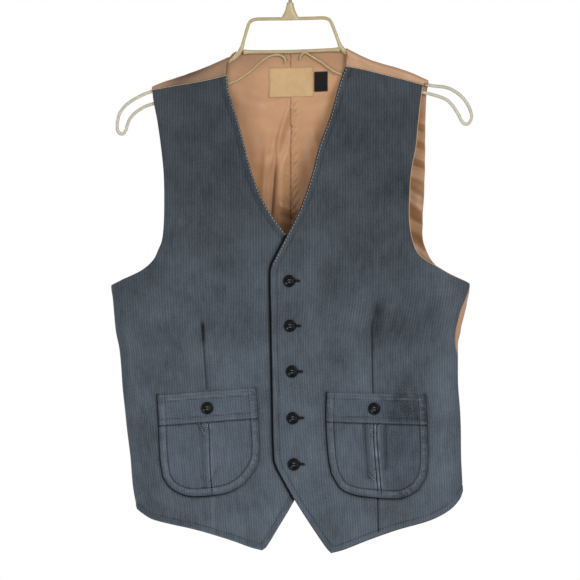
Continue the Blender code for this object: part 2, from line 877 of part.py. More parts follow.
def turned(profile, sides):
    """Vertices and faces of a closed solid turned about Z from rows of radius and height."""
    vertices = []
    faces = []
    for radius, height in profile:
        for k in range(sides):
            angle = 2 * math.pi * k / sides
            vertices.append(Vector((radius * math.cos(angle), radius * math.sin(angle), height)))
    for row in range(len(profile) - 1):
        for k in range(sides):
            a = row * sides + k
            b = row * sides + (k + 1) % sides
            faces.append((a, b, b + sides, a + sides))
    faces.append(tuple(reversed(range(sides))))
    top = (len(profile) - 1) * sides
    faces.append(tuple(top + k for k in range(sides)))
    return vertices, faces


def add_boolean(item, cutter, operation):
    """Exact Boolean between two objects."""
    change = item.modifiers.new(operation.lower(), "BOOLEAN")
    change.operation = operation
    change.solver = "EXACT"
    change.object = cutter
    cutter.hide_render = True
    cutter.display_type = "WIRE"


def button_mesh():
    """Mesh of a dished button with four holes, shared by every button."""
    radius = BUTTON_RADIUS
    thick = BUTTON_THICK
    profile = (
        (radius * 0.55, 0.0),
        (radius * 0.86, 0.35),
        (radius, thick * 0.48),
        (radius * 0.97, thick * 0.82),
        (radius * 0.88, thick),
        (radius * 0.74, thick * 0.93),
        (radius * 0.60, thick * 0.66),
    )
    vertices, faces = turned([(r * MM, h * MM) for r, h in profile], BUTTON_SIDES)
    disc = add_object("button_1", vertices, faces, "resin")
    hole_vertices = []
    hole_faces = []
    for k in range(4):
        angle = math.pi / 4 + k * math.pi / 2
        shift = Vector((math.cos(angle), math.sin(angle), 0)) * BUTTON_HOLE_RING * MM
        reach = thick * 2 * MM
        ring_vertices, ring_faces = turned(
            [(BUTTON_HOLE_RADIUS * MM, -reach), (BUTTON_HOLE_RADIUS * MM, reach)], HOLE_SIDES
        )
        base = len(hole_vertices)
        hole_vertices.extend(v + shift for v in ring_vertices)
        hole_faces.extend(tuple(base + i for i in face) for face in ring_faces)
    cutter = add_object("button_hole_cutter", hole_vertices, hole_faces, "resin", smooth=False)
    add_boolean(disc, cutter, "DIFFERENCE")
    bpy.context.view_layer.update()
    mesh = bpy.data.meshes.new_from_object(disc.evaluated_get(bpy.context.evaluated_depsgraph_get()))
    mesh.name = "button"
    bpy.data.objects.remove(cutter, do_unlink=True)
    bpy.data.objects.remove(disc, do_unlink=True)
    return mesh


def place_button(name, mesh, place, lift, sunk=False):
    """Button object standing off the cloth along its outward direction."""
    x, drop = place
    flat = front_place(x, drop)
    out = normal(flat.x, flat.y, sunk)
    spot = surface(flat.x, flat.y, sunk) + out * lift
    item = bpy.data.objects.new(name, mesh)
    item.matrix_world = Matrix.Translation(spot * MM) @ out.to_track_quat("Z", "Y").to_matrix().to_4x4()
    bpy.context.scene.collection.objects.link(item)


def make_buttons():
    """Five front buttons and one on each pocket."""
    mesh = button_mesh()
    half = FRONT_CLOTH / 2
    for number, place in enumerate(BUTTONS, start=1):
        place_button("button_%d" % number, mesh, place, half + BUTTON_GAP)
    band = half + LAY_GAP + POCKET_CLOTH + BAND_EXTRA
    place_button("pocket_button_left", mesh, POCKET_BUTTON_LEFT, band + BUTTON_GAP)
    place_button("pocket_button_right", mesh, POCKET_BUTTON_RIGHT, band + BUTTON_GAP, sunk=True)


def tube(name, path, radius, sides, material):
    """Closed tube along a path in the hanger's plane, given as x and drop."""
    path = [Vector(p) for p in path]
    vertices = []
    faces = []
    for i, point in enumerate(path):
        before = path[max(i - 1, 0)]
        after = path[min(i + 1, len(path) - 1)]
        along = (after - before).normalized()
        across = Vector((-along.y, along.x))
        for k in range(sides):
            angle = 2 * math.pi * (k + 0.5) / sides
            spot = point + across * radius * math.cos(angle)
            vertices.append(Vector((spot.x, radius * math.sin(angle), -spot.y)) * MM)
    for i in range(len(path) - 1):
        for k in range(sides):
            a = i * sides + k
            b = i * sides + (k + 1) % sides
            faces.append((a, b, b + sides, a + sides))
    faces.append(tuple(range(sides)))
    faces.append(tuple(reversed(range((len(path) - 1) * sides, len(path) * sides))))
    return add_object(name, vertices, faces, material)


def thin_path(path, tolerance=PATH_TOLERANCE):
    """Fewest points that keep a path within a tolerance of the given one."""
    if len(path) < 3:
        return list(path)
    chord = path[-1] - path[0]
    gaps = [abs((p - path[0]).cross(chord)) / max(chord.length, 1e-9) for p in path[1:-1]]
    worst = max(range(len(gaps)), key=gaps.__getitem__)
    if gaps[worst] < tolerance:
        return [path[0], path[-1]]
    split = worst + 1
    return thin_path(path[: split + 1], tolerance)[:-1] + thin_path(path[split:], tolerance)


def make_hanger():
    """Moulded frame: one rod round both arms, the neck bar and the boss for the hook."""
    rows = (
        NECK_TAIL_RIGHT
        + ARM_LOWER_RIGHT
        + TIP_RIGHT
        + ARM_UPPER_RIGHT
        + LEG_RIGHT
        + TOP_BAR
        + LEG_LEFT
        + ARM_UPPER_LEFT
        + TIP_LEFT
        + ARM_LOWER_LEFT
        + NECK_TAIL_LEFT
    )
    path = thin_path(smooth_line(rows, 3.0))
    frame = tube("hanger_frame", path, ROD_RADIUS, ROD_SIDES, "plastic")
    bar = tube("neck_bar", smooth_line(NECK_BAR, 30), ROD_RADIUS * 1.04, ROD_SIDES, "plastic")
    add_boolean(frame, bar, "UNION")
    boss_vertices = []
    boss_faces = []
    sides = WIRE_SIDES
    for drop, half_width, half_depth in BOSS:
        for k in range(sides):
            angle = 2 * math.pi * (k + 0.5) / sides
            boss_vertices.append(Vector((half_width * math.cos(angle), half_depth * math.sin(angle), -drop)) * MM)
    for row in range(len(BOSS) - 1):
        for k in range(sides):
            a = row * sides + k
            b = row * sides + (k + 1) % sides
            boss_faces.append((a, b, b + sides, a + sides))
    boss_faces.append(tuple(range(sides)))
    boss_faces.append(tuple(reversed(range((len(BOSS) - 1) * sides, len(BOSS) * sides))))
    boss = add_object("boss", boss_vertices, boss_faces, "plastic")
    add_boolean(frame, boss, "UNION")
    radius = WIRE_RADIUS + SOCKET_CLEARANCE
    socket = tube("socket", ((0, 45), (0, SOCKET_DEPTH_DROP)), radius, WIRE_SIDES, "plastic")
    add_boolean(frame, socket, "DIFFERENCE")


def make_hook():
    """Wire hook whose inner top is the origin."""
    radius = HOOK_INNER_RADIUS + WIRE_RADIUS
    centre = HOOK_INNER_RADIUS
    arc = []
    for degrees in range(-60, 201, 13):
        angle = math.radians(degrees)
        arc.append((radius * math.cos(angle), centre - radius * math.sin(angle)))
    stem = ((0, WIRE_END_DROP), (0, 58), (0.3, 50), (3.5, 42))
    path = smooth_line(stem + tuple(arc), 6.0)
    tube("hanger_hook", path, WIRE_RADIUS, WIRE_SIDES, "steel")


def main():
    """Build every piece."""
    clear_scene()
    for left in (True, False):
        make_front(left)
        make_back(left)
    make_label("label_main", LABEL_MAIN, "label_cream")
    make_label("label_size", LABEL_SIZE, "label_black")
    make_buttons()
    make_hanger()
    make_hook()


main()
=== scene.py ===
"""Western vest hung buttoned on a plastic hanger: its cloth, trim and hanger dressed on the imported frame.

Metres, +Z up, the fronts face -Y and the wearer's left is +X. Flat places are millimetres: the girth along
the cloth from the front centre, and the drop below the hook's inner top.
"""
import logging
import math
from contextlib import contextmanager
from dataclasses import dataclass, field
from enum import Enum
from typing import Any, Iterator, Optional, Sequence

import bmesh
import bpy
import numpy as np
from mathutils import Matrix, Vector
from mathutils.geometry import delaunay_2d_cdt


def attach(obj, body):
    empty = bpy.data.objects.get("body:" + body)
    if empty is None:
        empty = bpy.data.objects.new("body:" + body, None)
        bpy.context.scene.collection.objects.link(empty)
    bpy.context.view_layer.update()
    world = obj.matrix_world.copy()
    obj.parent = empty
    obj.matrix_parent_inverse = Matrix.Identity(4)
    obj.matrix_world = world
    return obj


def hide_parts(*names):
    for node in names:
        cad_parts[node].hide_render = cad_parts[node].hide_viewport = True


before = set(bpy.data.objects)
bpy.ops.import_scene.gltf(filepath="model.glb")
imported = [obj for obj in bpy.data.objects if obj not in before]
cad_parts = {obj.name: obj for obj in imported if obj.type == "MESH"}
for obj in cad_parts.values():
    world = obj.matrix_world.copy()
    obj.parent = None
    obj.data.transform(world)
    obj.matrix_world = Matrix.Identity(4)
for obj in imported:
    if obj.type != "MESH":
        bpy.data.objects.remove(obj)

MM = 0.001
# Places nearer than this, in millimetres, are one point of a joined line.
SAME_PLACE = 0.6
UV_NAME = "cloth"
BODY = "root"
BLEND = {"data_type": "RGBA"}
MULTIPLY = {"data_type": "RGBA", "blend_type": "MULTIPLY"}
TIMES = {"operation": "MULTIPLY"}
TIMES_PLUS = {"operation": "MULTIPLY_ADD"}
EASED = {"interpolation_type": "SMOOTHSTEP"}
# The output that is linked when a node itself is given; other nodes give their first one.
MAIN_OUTPUT = {"ShaderNodeMix": 2, "ShaderNodeAttribute": 2, "ShaderNodeTexCoord": 3}

Array = np.ndarray
Rows = Sequence[Sequence[float]]
log = logging.getLogger("vest")


class Side(Enum):
    """Which side of the wearer a piece is on; the value is the sign of its x."""

    LEFT = 1
    RIGHT = -1

    @property
    def word(self) -> str:
        """The side as a node name spells it."""
        return self.name.lower()


class Weave(Enum):
    """How a smooth cloth is woven, as threads across and along for one repeat."""

    SATIN = (1.0, 5.0)
    TAFFETA = (1.0, 1.0)


def linear(code: str) -> tuple[float, float, float, float]:
    """Linear colour of an sRGB hex code.

    Args:
        code: six hex digits with a leading hash.

    Returns:
        Red, green, blue and alpha, linear.
    """
    parts = [int(code[i : i + 2], 16) / 255 for i in (1, 3, 5)]
    return (*(p / 12.92 if p <= 0.04045 else ((p + 0.055) / 1.055) ** 2.4 for p in parts), 1.0)


def feed(node: bpy.types.Node, inputs: dict[Any, Any]) -> None:
    """Link or set a node's inputs.

    Args:
        node: the node.
        inputs: input name or index, with a node or socket to link, or a value to set.
    """
    for name, value in inputs.items():
        if isinstance(value, bpy.types.Node):
            value = value.outputs[MAIN_OUTPUT.get(value.bl_idname, 0)]
        if isinstance(value, bpy.types.NodeSocket):
            node.id_data.links.new(value, node.inputs[name])
        else:
            node.inputs[name].default_value = value


def add_node(
    tree: bpy.types.NodeTree, kind: str, inputs: Optional[dict[Any, Any]] = None,
    settings: Optional[dict[str, Any]] = None
) -> bpy.types.Node:
    """Add one node with its settings, values and links.

    Args:
        tree: the tree that gets the node.
        kind: the node's type name, which may leave out ShaderNode.
        inputs: input name or index, with a node or socket to link, or a value to set.
        settings: the node's own properties.

    Returns:
        The new node.
    """
    node = tree.nodes.new(kind if "Node" in kind else "ShaderNode" + kind)
    for name, value in (settings or {}).items():
        setattr(node, name, value)
    feed(node, inputs or {})
    return node


def smooth_step(t: Array) -> Array:
    """Ease from 0 to 1."""
    t = np.clip(t, 0.0, 1.0)
    return t * t * (3 - 2 * t)


def hump(offset: Array, width: float) -> Array:
    """Soft bell of height 1 round an offset of 0."""
    return np.exp(-((offset / width) ** 2))


def curve_values(rows: Rows, at: Array, column: int = 1) -> Array:
    """Smooth values of a table's column, read at values of its first column.

    Args:
        rows: the table, in rising order of its first column.
        at: where to read it.
        column: which column to read.

    Returns:
        One value for each place.
    """
    table = np.asarray(rows, dtype=float)
    known = table[:, 0]
    values = table[:, column]
    rise = np.diff(values) / np.diff(known)
    slope = np.empty(len(known))
    slope[0] = rise[0]
    slope[-1] = rise[-1]
    product = rise[:-1] * rise[1:]
    total = rise[:-1] + rise[1:]
    slope[1:-1] = np.where(product > 0, 2 * product / np.where(total == 0, 1, total), 0)
    index = np.clip(np.searchsorted(known, at, side="right") - 1, 0, len(known) - 2)
    span = known[index + 1] - known[index]
    t = np.clip((at - known[index]) / span, 0, 1)
    near = values[index] * (1 + 2 * t) * (1 - t) ** 2 + slope[index] * span * t * (1 - t) ** 2
    return near + values[index + 1] * t * t * (3 - 2 * t) - slope[index + 1] * span * t * t * (1 - t)


def fold_height(rows: Rows, x: Array, drop: Array) -> Array:
    """Sum of soft ridges and troughs.

    Args:
        rows: both ends as x and drop, then half width and height outwards.
        x: where to read, across.
        drop: where to read, downwards.

    Returns:
        Height outwards at each place.
    """
    total = np.zeros(len(x))
    for x0, drop0, x1, drop1, half_width, height in rows:
        along = np.array((x1 - x0, drop1 - drop0))
        square = float(along @ along)
        t = ((x - x0) * along[0] + (drop - drop0) * along[1]) / square
        side = np.hypot(x - x0 - t * along[0], drop - drop0 - t * along[1]) / half_width
        end = smooth_step((t + 0.3) / 0.5) * smooth_step((1.3 - t) / 0.5)
        total += height * end * np.exp(-side * side)
    return total


def ripples(places: Array, length: float, seed: int, stretch: float = 1.0) -> Array:
    """Even, irregular waves with a fixed seed.

    Args:
        places: flat places.
        length: typical wave length.
        seed: seed of the waves' directions and phases.
        stretch: how much longer the waves are down the cloth than across it.

    Returns:
        Heights of about -1 to 1.
    """
    random = np.random.default_rng(seed)
    total = np.zeros(len(places))
    for _ in range(14):
        angle = random.uniform(0, 2 * math.pi)
        wave = 2 * math.pi / (length * random.uniform(0.6, 1.7))
        phase = random.uniform(0, 2 * math.pi)
        across = math.cos(angle) * wave
        down = math.sin(angle) * wave / stretch
        total += np.sin(places[:, 0] * across + places[:, 1] * down + phase)
    return total / 3.7


def smooth_line(points: Rows, step: float) -> Array:
    """Points evenly spaced along a smooth curve through the given ones.

    Args:
        points: what the curve passes through, in order.
        step: distance between the new points.

    Returns:
        The new points, with both ends kept.
    """
    given = np.asarray(points, dtype=float)
    dense: list[Array] = []
    for i in range(len(given) - 1):
        start, stop = given[i], given[i + 1]
        before = given[i - 1] if i > 0 else start * 2 - stop
        after = given[i + 2] if i + 2 < len(given) else stop * 2 - start
        span = float(np.hypot(*(stop - start)[:2]))
        lead = (stop - before) * span / max(float(np.hypot(*(stop - before)[:2])), 1e-6)
        trail = (after - start) * span / max(float(np.hypot(*(after - start)[:2])), 1e-6)
        for t in np.arange(12) / 12:
            near = start * ((1 + 2 * t) * (1 - t) ** 2) + lead * (t * (1 - t) ** 2)
            dense.append(near + stop * (t * t * (3 - 2 * t)) - trail * (t * t * (1 - t)))
    dense.append(given[-1])
    return even_line(np.array(dense), step)


def even_line(line: Array, step: float) -> Array:
    """The same line with evenly spaced points.

    Args:
        line: its points.
        step: distance between the new points.

    Returns:
        The new points, with both ends kept.
    """
    gaps = np.sqrt((np.diff(line, axis=0) ** 2).sum(axis=1))
    run = np.concatenate(([0.0], np.cumsum(gaps)))
    count = max(1, round(run[-1] / step))
    target = np.linspace(0, run[-1], count + 1)
    return np.stack([np.interp(target, run, line[:, c]) for c in range(line.shape[1])], axis=1)


def line_length(line: Array) -> float:
    """Length of a flat line."""
    return float(np.hypot(*np.diff(line, axis=0).T).sum())


def nearest(places: Array, line: Array) -> tuple[Array, Array]:
    """Distance to a line, and how far along it the nearest point lies.

    Args:
        places: flat places.
        line: the line's points.

    Returns:
        Distances, and runs along the line.
    """
    start = line[:-1]
    span = line[1:] - start
    length = np.hypot(span[:, 0], span[:, 1])
    run = np.concatenate(([0.0], np.cumsum(length)))[:-1]
    best = np.empty(len(places))
    where = np.empty(len(places))
    for first in range(0, len(places), 1500):
        offset = places[first : first + 1500, None, :] - start[None]
        t = np.clip((offset * span).sum(axis=2) / np.maximum(length**2, 1e-12), 0, 1)
        gap = offset - span[None] * t[..., None]
        size = np.hypot(gap[..., 0], gap[..., 1])
        pick = size.argmin(axis=1)
        rows = np.arange(len(pick))
        best[first : first + 1500] = size[rows, pick]
        where[first : first + 1500] = run[pick] + t[rows, pick] * length[pick]
    return best, where


def away(places: Array, line: Array) -> Array:
    """Distance of each place to a line."""
    return nearest(places, line)[0]


def inside(places: Array, outline: Array) -> Array:
    """Whether flat places lie inside a closed outline.

    Args:
        places: flat places.
        outline: the outline's points, without the first one repeated.

    Returns:
        One truth value for each place.
    """
    last = np.roll(outline, 1, axis=0)
    found = np.zeros(len(places), dtype=bool)
    for (x0, y0), (x1, y1) in zip(last, outline):
        if y0 == y1:
            continue
        crosses = (places[:, 1] < y0) != (places[:, 1] < y1)
        found ^= crosses & (places[:, 0] < (x0 - x1) * (places[:, 1] - y1) / (y0 - y1) + x1)
    return found


def closed(outline: Array) -> Array:
    """The outline with its first point repeated at the end."""
    return np.concatenate((outline, outline[:1]))


def polygon_area(outline: Array) -> float:
    """Area inside a closed outline, in its own units squared."""
    x, y = outline[:, 0], outline[:, 1]
    return abs(float(np.dot(x, np.roll(y, -1)) - np.dot(y, np.roll(x, -1)))) / 2


def join_lines(*lines: Array) -> Array:
    """One open line from lines that meet end to end.

    Args:
        lines: the lines, in order.

    Returns:
        The line's points, where no two neighbours are nearly the same.
    """
    kept: list[Array] = []
    for line in lines:
        for place in line:
            if not kept or np.hypot(*(place - kept[-1])) > SAME_PLACE:
                kept.append(place)
    return np.array(kept)


def join_outline(*lines: Array) -> Array:
    """One closed outline from lines that meet end to end, without its first point repeated.

    Args:
        lines: the lines, in order.

    Returns:
        The outline's points.
    """
    kept = join_lines(*lines)
    return kept[:-1] if np.hypot(*(kept[0] - kept[-1])) < SAME_PLACE else kept


def inset(line: Array, reach: float) -> Array:
    """A line moved sideways, without the points that a bend brings too near.

    Args:
        line: the line's points.
        reach: how far it moves, to the right of its direction in girth and drop.

    Returns:
        The moved line.
    """
    along = np.gradient(line, axis=0)
    along /= np.maximum(np.hypot(along[:, 0], along[:, 1]), 1e-9)[:, None]
    moved = line + np.stack((-along[:, 1], along[:, 0]), axis=1) * reach
    return moved[away(moved, line) > abs(reach) - 0.12]


def beside(line: Array, *reaches: float) -> list[Array]:
    """The line moved sideways by each reach; a reach of 0 gives the line itself."""
    return [inset(line, reach) if reach else line for reach in reaches]


@contextmanager
def edited(mesh: bpy.types.Mesh) -> Iterator[bmesh.types.BMesh]:
    """Open a mesh for editing, and write it back when the block ends.

    Args:
        mesh: the mesh.

    Returns:
        Its editable form.
    """
    work = bmesh.new()
    work.from_mesh(mesh)
    yield work
    work.to_mesh(mesh)
    work.free()


def recalculate_normals(item: bpy.types.Object) -> None:
    """Point a closed mesh's faces outwards."""
    with edited(item.data) as work:
        bmesh.ops.recalc_face_normals(work, faces=work.faces)


@dataclass
class BodyForm:
    """How the buttoned shell lies over the hanger: the middle of its cloth at any flat place."""

    # Each ring is a drop, the body's low and high x there, and its depth in front and behind.
    rings: Rows = (
        (300, -232, 234, 35, 28), (420, -232, 234, 35, 28), (442, -230, 231, 35, 28),
        (481, -226, 222, 34, 27), (507, -221, 218, 33, 26), (546, -218, 218, 33, 26),
        (598, -213, 221, 33, 26), (650, -207, 222, 33, 26), (689, -203, 224, 33, 26),
        (715, -199, 225, 33, 26), (780, -196, 226, 33, 26)
    )
    crest_line: Rows = (
        (-240, 190), (-179, 163.5), (-121, 143), (-90, 130), (-79, 124.5), (-73, 116), (-62, 109), (-48, 107),
        (0, 106), (50, 105), (62, 106), (68, 109), (73, 113.5), (83, 119), (94, 124.5), (107, 130),
        (150, 143), (181, 156), (240, 182)
    )
    # Folds, and the tones and creases further down, are rows for fold_height.
    front_folds: Rows = (
        (28, 250, 29, 480, 14, 2.6), (55, 390, 50, 500, 13, -2.2), (82, 400, 80, 540, 15, 1.6),
        (116, 425, 108, 560, 13, -3.0), (150, 290, 140, 420, 20, -2.5), (198, 400, 212, 505, 12, 3.2),
        (203, 520, 205, 690, 14, 2.2), (178, 520, 186, 690, 12, -1.8), (112, 700, 112, 745, 13, -1.6),
        (-112, 460, -108, 560, 10, -2.0), (-98, 700, -98, 745, 12, -1.6), (-45, 330, -60, 440, 22, 2.0),
        (-120, 270, -60, 330, 24, -1.8), (-150, 420, -160, 560, 18, 2.0), (-190, 450, -192, 640, 12, -1.6),
        (-75, 620, -70, 740, 18, 1.4)
    )
    back_folds: Rows = (
        (-16, 265, -24, 345, 9, -3.0), (-8, 215, -22, 255, 12, 2.0), (60, 260, 70, 480, 20, 3.0),
        (-70, 300, -80, 520, 22, 2.6), (120, 360, 110, 600, 18, -2.6), (-125, 380, -118, 620, 18, -2.6),
        (30, 480, 34, 680, 16, 2.4), (-35, 500, -38, 680, 16, 2.4), (170, 430, 165, 640, 15, 2.0),
        (-172, 430, -165, 640, 15, 2.0)
    )
    # The rings hold from this drop downwards; above it the section stays as it is there.
    underarm: float = 420.0
    crest_radius: float = 4.5
    shoulder_run: float = 220.0
    ring_power: float = 2.5
    underlap_depth: float = 3.2
    reference: tuple[float, float] = (225.0, 30.0)
    turns: Array = field(init=False)
    lengths: Array = field(init=False)
    quarter: float = field(init=False)
    half: float = field(init=False)

    def __post_init__(self) -> None:
        """Measure the reference section once."""
        power = 2.0 / self.ring_power
        self.turns = np.linspace(0.0, math.pi / 2, 4001)
        across = self.reference[0] * np.sin(self.turns) ** power
        deep = self.reference[1] * np.cos(self.turns) ** power
        self.lengths = np.concatenate(([0.0], np.cumsum(np.hypot(np.diff(across), np.diff(deep)))))
        self.quarter = float(self.lengths[-1])
        self.half = 2 * self.quarter

    def girth(self, turn: Array) -> Array:
        """Distance along the cloth at turns round the body.

        Args:
            turn: radians from the front centre, wearer's left positive.

        Returns:
            Girths in millimetres.
        """
        size = np.abs(turn)
        near = np.interp(size, self.turns, self.lengths)
        far = self.half - np.interp(math.pi - size, self.turns, self.lengths)
        return np.copysign(np.where(size <= math.pi / 2, near, far), turn)

    def turn(self, girth: Array) -> Array:
        """Turns round the body at distances along the cloth.

        Args:
            girth: millimetres from the front centre.

        Returns:
            Radians from the front centre.
        """
        girth = (girth + self.half) % (2 * self.half) - self.half
        size = np.abs(girth)
        near = np.interp(size, self.lengths, self.turns)
        far = math.pi - np.interp(self.half - size, self.lengths, self.turns)
        return np.copysign(np.where(size <= self.quarter, near, far), girth)

    def middle(self, places: Array, sunk: bool = False) -> Array:
        """Middle of the cloth in millimetres.

        Args:
            places: flat places.
            sunk: whether this is the under front, which stands behind the top one near the centre.

        Returns:
            One point for each place.
        """
        turn = self.turn(places[:, 0])
        drop = places[:, 1].copy()
        power = 2.0 / self.ring_power
        level = np.maximum(drop, self.underarm)
        low, high, front, back = (curve_values(self.rings, level, c) for c in (1, 2, 3, 4))
        x = (low + high) / 2 + np.copysign((high - low) / 2 * np.abs(np.sin(turn)) ** power, turn)
        radius = self.crest_radius
        bend = curve_values(self.crest_line, x) + radius
        past = bend - drop
        arc = math.pi * radius
        is_front = np.abs(turn) <= math.pi / 2
        over = ~is_front & (past > 0)
        on_arc = over & (past < arc)
        flap = over & (past >= arc)
        drop = np.where(flap, bend + past - arc, drop)
        is_front |= flap
        share = smooth_step((drop - bend) / self.shoulder_run)
        cosine = np.abs(np.cos(turn))
        full = np.where(is_front, front, back) * cosine**power
        ahead = fold_height(self.front_folds, x, drop)
        behind = fold_height(self.back_folds, x, drop)
        fade = smooth_step((drop - bend) / 60) * cosine**0.6
        depth = radius * (1 - share) + full * share + np.where(is_front, ahead, behind) * fade
        if sunk:
            depth -= self.underlap_depth * smooth_step((x + 62) / 30) * smooth_step((drop - 270) / 60)
        rise = np.clip((bend - drop) / radius, 0, 1)
        lip = is_front & (drop < bend)
        depth = np.where(lip, radius * np.sqrt(1 - rise * rise), depth)
        y = np.where(is_front, -depth, depth)
        angle = np.clip(past / radius, 0, math.pi)
        y = np.where(on_arc, radius * np.cos(angle), y)
        z = np.where(on_arc, -(bend - radius * np.sin(angle)), -drop)
        return np.stack((x, y, z), axis=1)

    def outward(self, places: Array, sunk: bool = False) -> Array:
        """Outward direction of the cloth.

        Args:
            places: flat places.
            sunk: whether this is the under front.

        Returns:
            One unit vector for each place.
        """
        reach = np.array((1.5, 0.0))
        fall = np.array((0.0, 1.5))
        across = self.middle(places + reach, sunk) - self.middle(places - reach, sunk)
        down = self.middle(places + fall, sunk) - self.middle(places - fall, sunk)
        out = np.cross(down, across)
        return out / np.linalg.norm(out, axis=1)[:, None]

    def front_places(self, rows: Rows) -> Array:
        """Flat places on the fronts.

        Args:
            rows: x and drop.

        Returns:
            Girth and drop.
        """
        table = np.asarray(rows, dtype=float)
        level = np.maximum(table[:, 1], self.underarm)
        low = curve_values(self.rings, level, 1)
        high = curve_values(self.rings, level, 2)
        offset = table[:, 0] - (low + high) / 2
        share = np.clip(np.abs(offset) / ((high - low) / 2), 0, 1)
        turn = np.copysign(np.arcsin(share ** (self.ring_power / 2)), offset)
        return np.stack((self.girth(turn), table[:, 1]), axis=1)

    def front_line(self, rows: Rows, step: float) -> Array:
        """Flat places evenly spaced on a smooth line over the fronts' x and drop rows."""
        return self.front_places(smooth_line(rows, step))

    def back_places(self, rows: Rows) -> Array:
        """Flat places on the back.

        Args:
            rows: x and drop.

        Returns:
            Girth and drop.
        """
        flat = self.front_places(rows)
        flat[:, 0] = np.copysign(self.half, flat[:, 0]) - flat[:, 0]
        return flat

    def flap_places(self, rows: Rows) -> Array:
        """Flat places on the back's cloth that has come over the crest.

        Args:
            rows: x and drop, in front.

        Returns:
            Girth and drop.
        """
        table = np.asarray(rows, dtype=float)
        flat = self.back_places(table)
        bend = curve_values(self.crest_line, table[:, 0]) + self.crest_radius
        flat[:, 1] = 2 * bend - math.pi * self.crest_radius - table[:, 1]
        return flat


class Finish:
    """A finish that makes its material once."""

    title: str

    def material(self) -> bpy.types.Material:
        """The finish's material, made when it is first asked for.

        Returns:
            The material.
        """
        known = bpy.data.materials.get(self.title)
        if known is not None:
            return known
        material = bpy.data.materials.new(self.title)
        material.use_nodes = True
        tree = material.node_tree
        self.dress(tree, tree.nodes["Principled BSDF"])
        return material

    def dress(self, tree: bpy.types.NodeTree, shader: bpy.types.Node) -> None:
        """Add the finish's own nodes.

        Args:
            tree: the material's tree.
            shader: the shader that they feed.
        """
        raise NotImplementedError


@dataclass(frozen=True)
class Corduroy(Finish):
    """Cotton corduroy, cut pile: soft ribs down the cloth, matt, with a pale sheen at a glancing angle."""

    title: str = "pinwale corduroy"
    # Painted light: the top colour is darker and the low one lighter, so the cloth brightens towards the hem.
    top: str = "#3e4449"
    low: str = "#525a63"
    # Painted shade in the grooves between the ribs.
    groove: str = "#dde0e4"
    # Colour of rubbed pile and of painted highlights.
    worn_and_highlight: str = "#767e88"
    # Colour of dark seams and of painted shade in creases, grooves, slits and beside pieces on the cloth.
    deep: str = "#0b0d10"
    # Real pinwale is about 1.6 mm a wale: it is drawn at 3.5 mm, or it would not show in the render.
    wale_mm: float = 3.5
    pile_mm: float = 1.5
    relief_mm: float = 0.13
    # Heights between which painted light turns the cloth from its darker top colour to its lighter low one,
    # in metres.
    painted_light_heights: tuple[float, float] = (-0.20, -0.66)

    def dress(self, tree: bpy.types.NodeTree, shader: bpy.types.Node) -> None:
        """Wavering ribs, mottled pile, streaks, rubbed pile, dark seams, and painted light, shade and
        highlights.

        Args:
            tree: the material's tree.
            shader: the shader that they feed.
        """
        wales = 1000 / self.wale_mm
        cloth = add_node(tree, "UVMap", settings={"uv_map": UV_NAME})
        across = add_node(tree, "SeparateXYZ", {0: cloth})
        wander = add_node(tree, "TexNoise", {"Vector": cloth, "Scale": 26.0, "Detail": 3.0})
        bent = add_node(tree, "Math", {0: wander, 1: 0.9}, TIMES)
        turns = add_node(tree, "Math", {0: across, 1: wales, 2: bent}, TIMES_PLUS)
        rib = add_node(tree, "Math", {0: turns, 1: 0.5}, {"operation": "PINGPONG"})
        ridge = add_node(tree, "MapRange", {"Value": rib, "From Min": 0.02, "From Max": 0.42}, EASED)
        pile = add_node(tree, "TexNoise", {"Vector": cloth, "Scale": 1000 / self.pile_mm, "Detail": 2.0})
        stretched = add_node(tree, "Mapping", {"Vector": cloth, "Scale": (wales * 0.6, 45.0, 1.0)})
        streak = add_node(tree, "TexNoise", {"Vector": stretched, "Scale": 1.0, "Detail": 3.0})
        blotch = add_node(
            tree, "TexNoise", {"Vector": cloth, "Scale": 16.0, "Detail": 5.0, "Roughness": 0.65}
        )
        # Painted light and shade of the folds, read from the tone attribute.
        painted_light = add_node(tree, "Attribute", settings={"attribute_name": "tone"})
        tone = add_node(tree, "Math", {0: streak, 1: 0.55, 2: -0.45}, TIMES_PLUS)
        for part, share in ((pile, 1.1), (blotch, 1.25), (painted_light, 1.0)):
            tone = add_node(tree, "Math", {0: part, 1: share, 2: tone}, TIMES_PLUS)
        grey = add_node(tree, "CombineColor", {0: tone, 1: tone, 2: tone})
        spot = add_node(tree, "TexCoord")
        height = add_node(tree, "SeparateXYZ", {0: spot}).outputs["Z"]
        # Painted light: darker at the top of the vest, lighter low down.
        start, stop = self.painted_light_heights
        fall = add_node(tree, "MapRange", {"Value": height, "From Min": start, "From Max": stop}, EASED)
        colour = add_node(tree, "Mix", {0: fall, 6: linear(self.top), 7: linear(self.low)}, BLEND)
        colour = add_node(tree, "Mix", {0: 1.0, 6: colour, 7: grey}, MULTIPLY)
        # Painted shade: the grooves between the ribs are darker than the ribs.
        dark = add_node(tree, "Mix", {0: 1.0, 6: colour, 7: linear(self.groove)}, MULTIPLY)
        colour = add_node(tree, "Mix", {0: ridge, 6: dark, 7: colour}, BLEND)
        # Rubbed pile and painted highlights take the pale colour; dark seams and painted shade take the deep
        # one.
        for name, shown in (("wear", self.worn_and_highlight), ("shade", self.deep)):
            share = add_node(tree, "Attribute", settings={"attribute_name": name})
            colour = add_node(tree, "Mix", {0: share, 6: colour, 7: linear(shown)}, BLEND)
        relief = add_node(tree, "Math", {0: pile, 1: 0.6, 2: ridge}, TIMES_PLUS)
        bump = add_node(tree, "Bump", {"Strength": 0.8, "Distance": self.relief_mm * MM, "Height": relief})
        feed(shader, {"Base Color": colour, "Normal": bump, "Roughness": 0.92, "Specular IOR Level": 0.12})
        feed(shader, {"Sheen Weight": 0.1, "Sheen Roughness": 0.5, "Sheen Tint": linear("#aab6c4")})


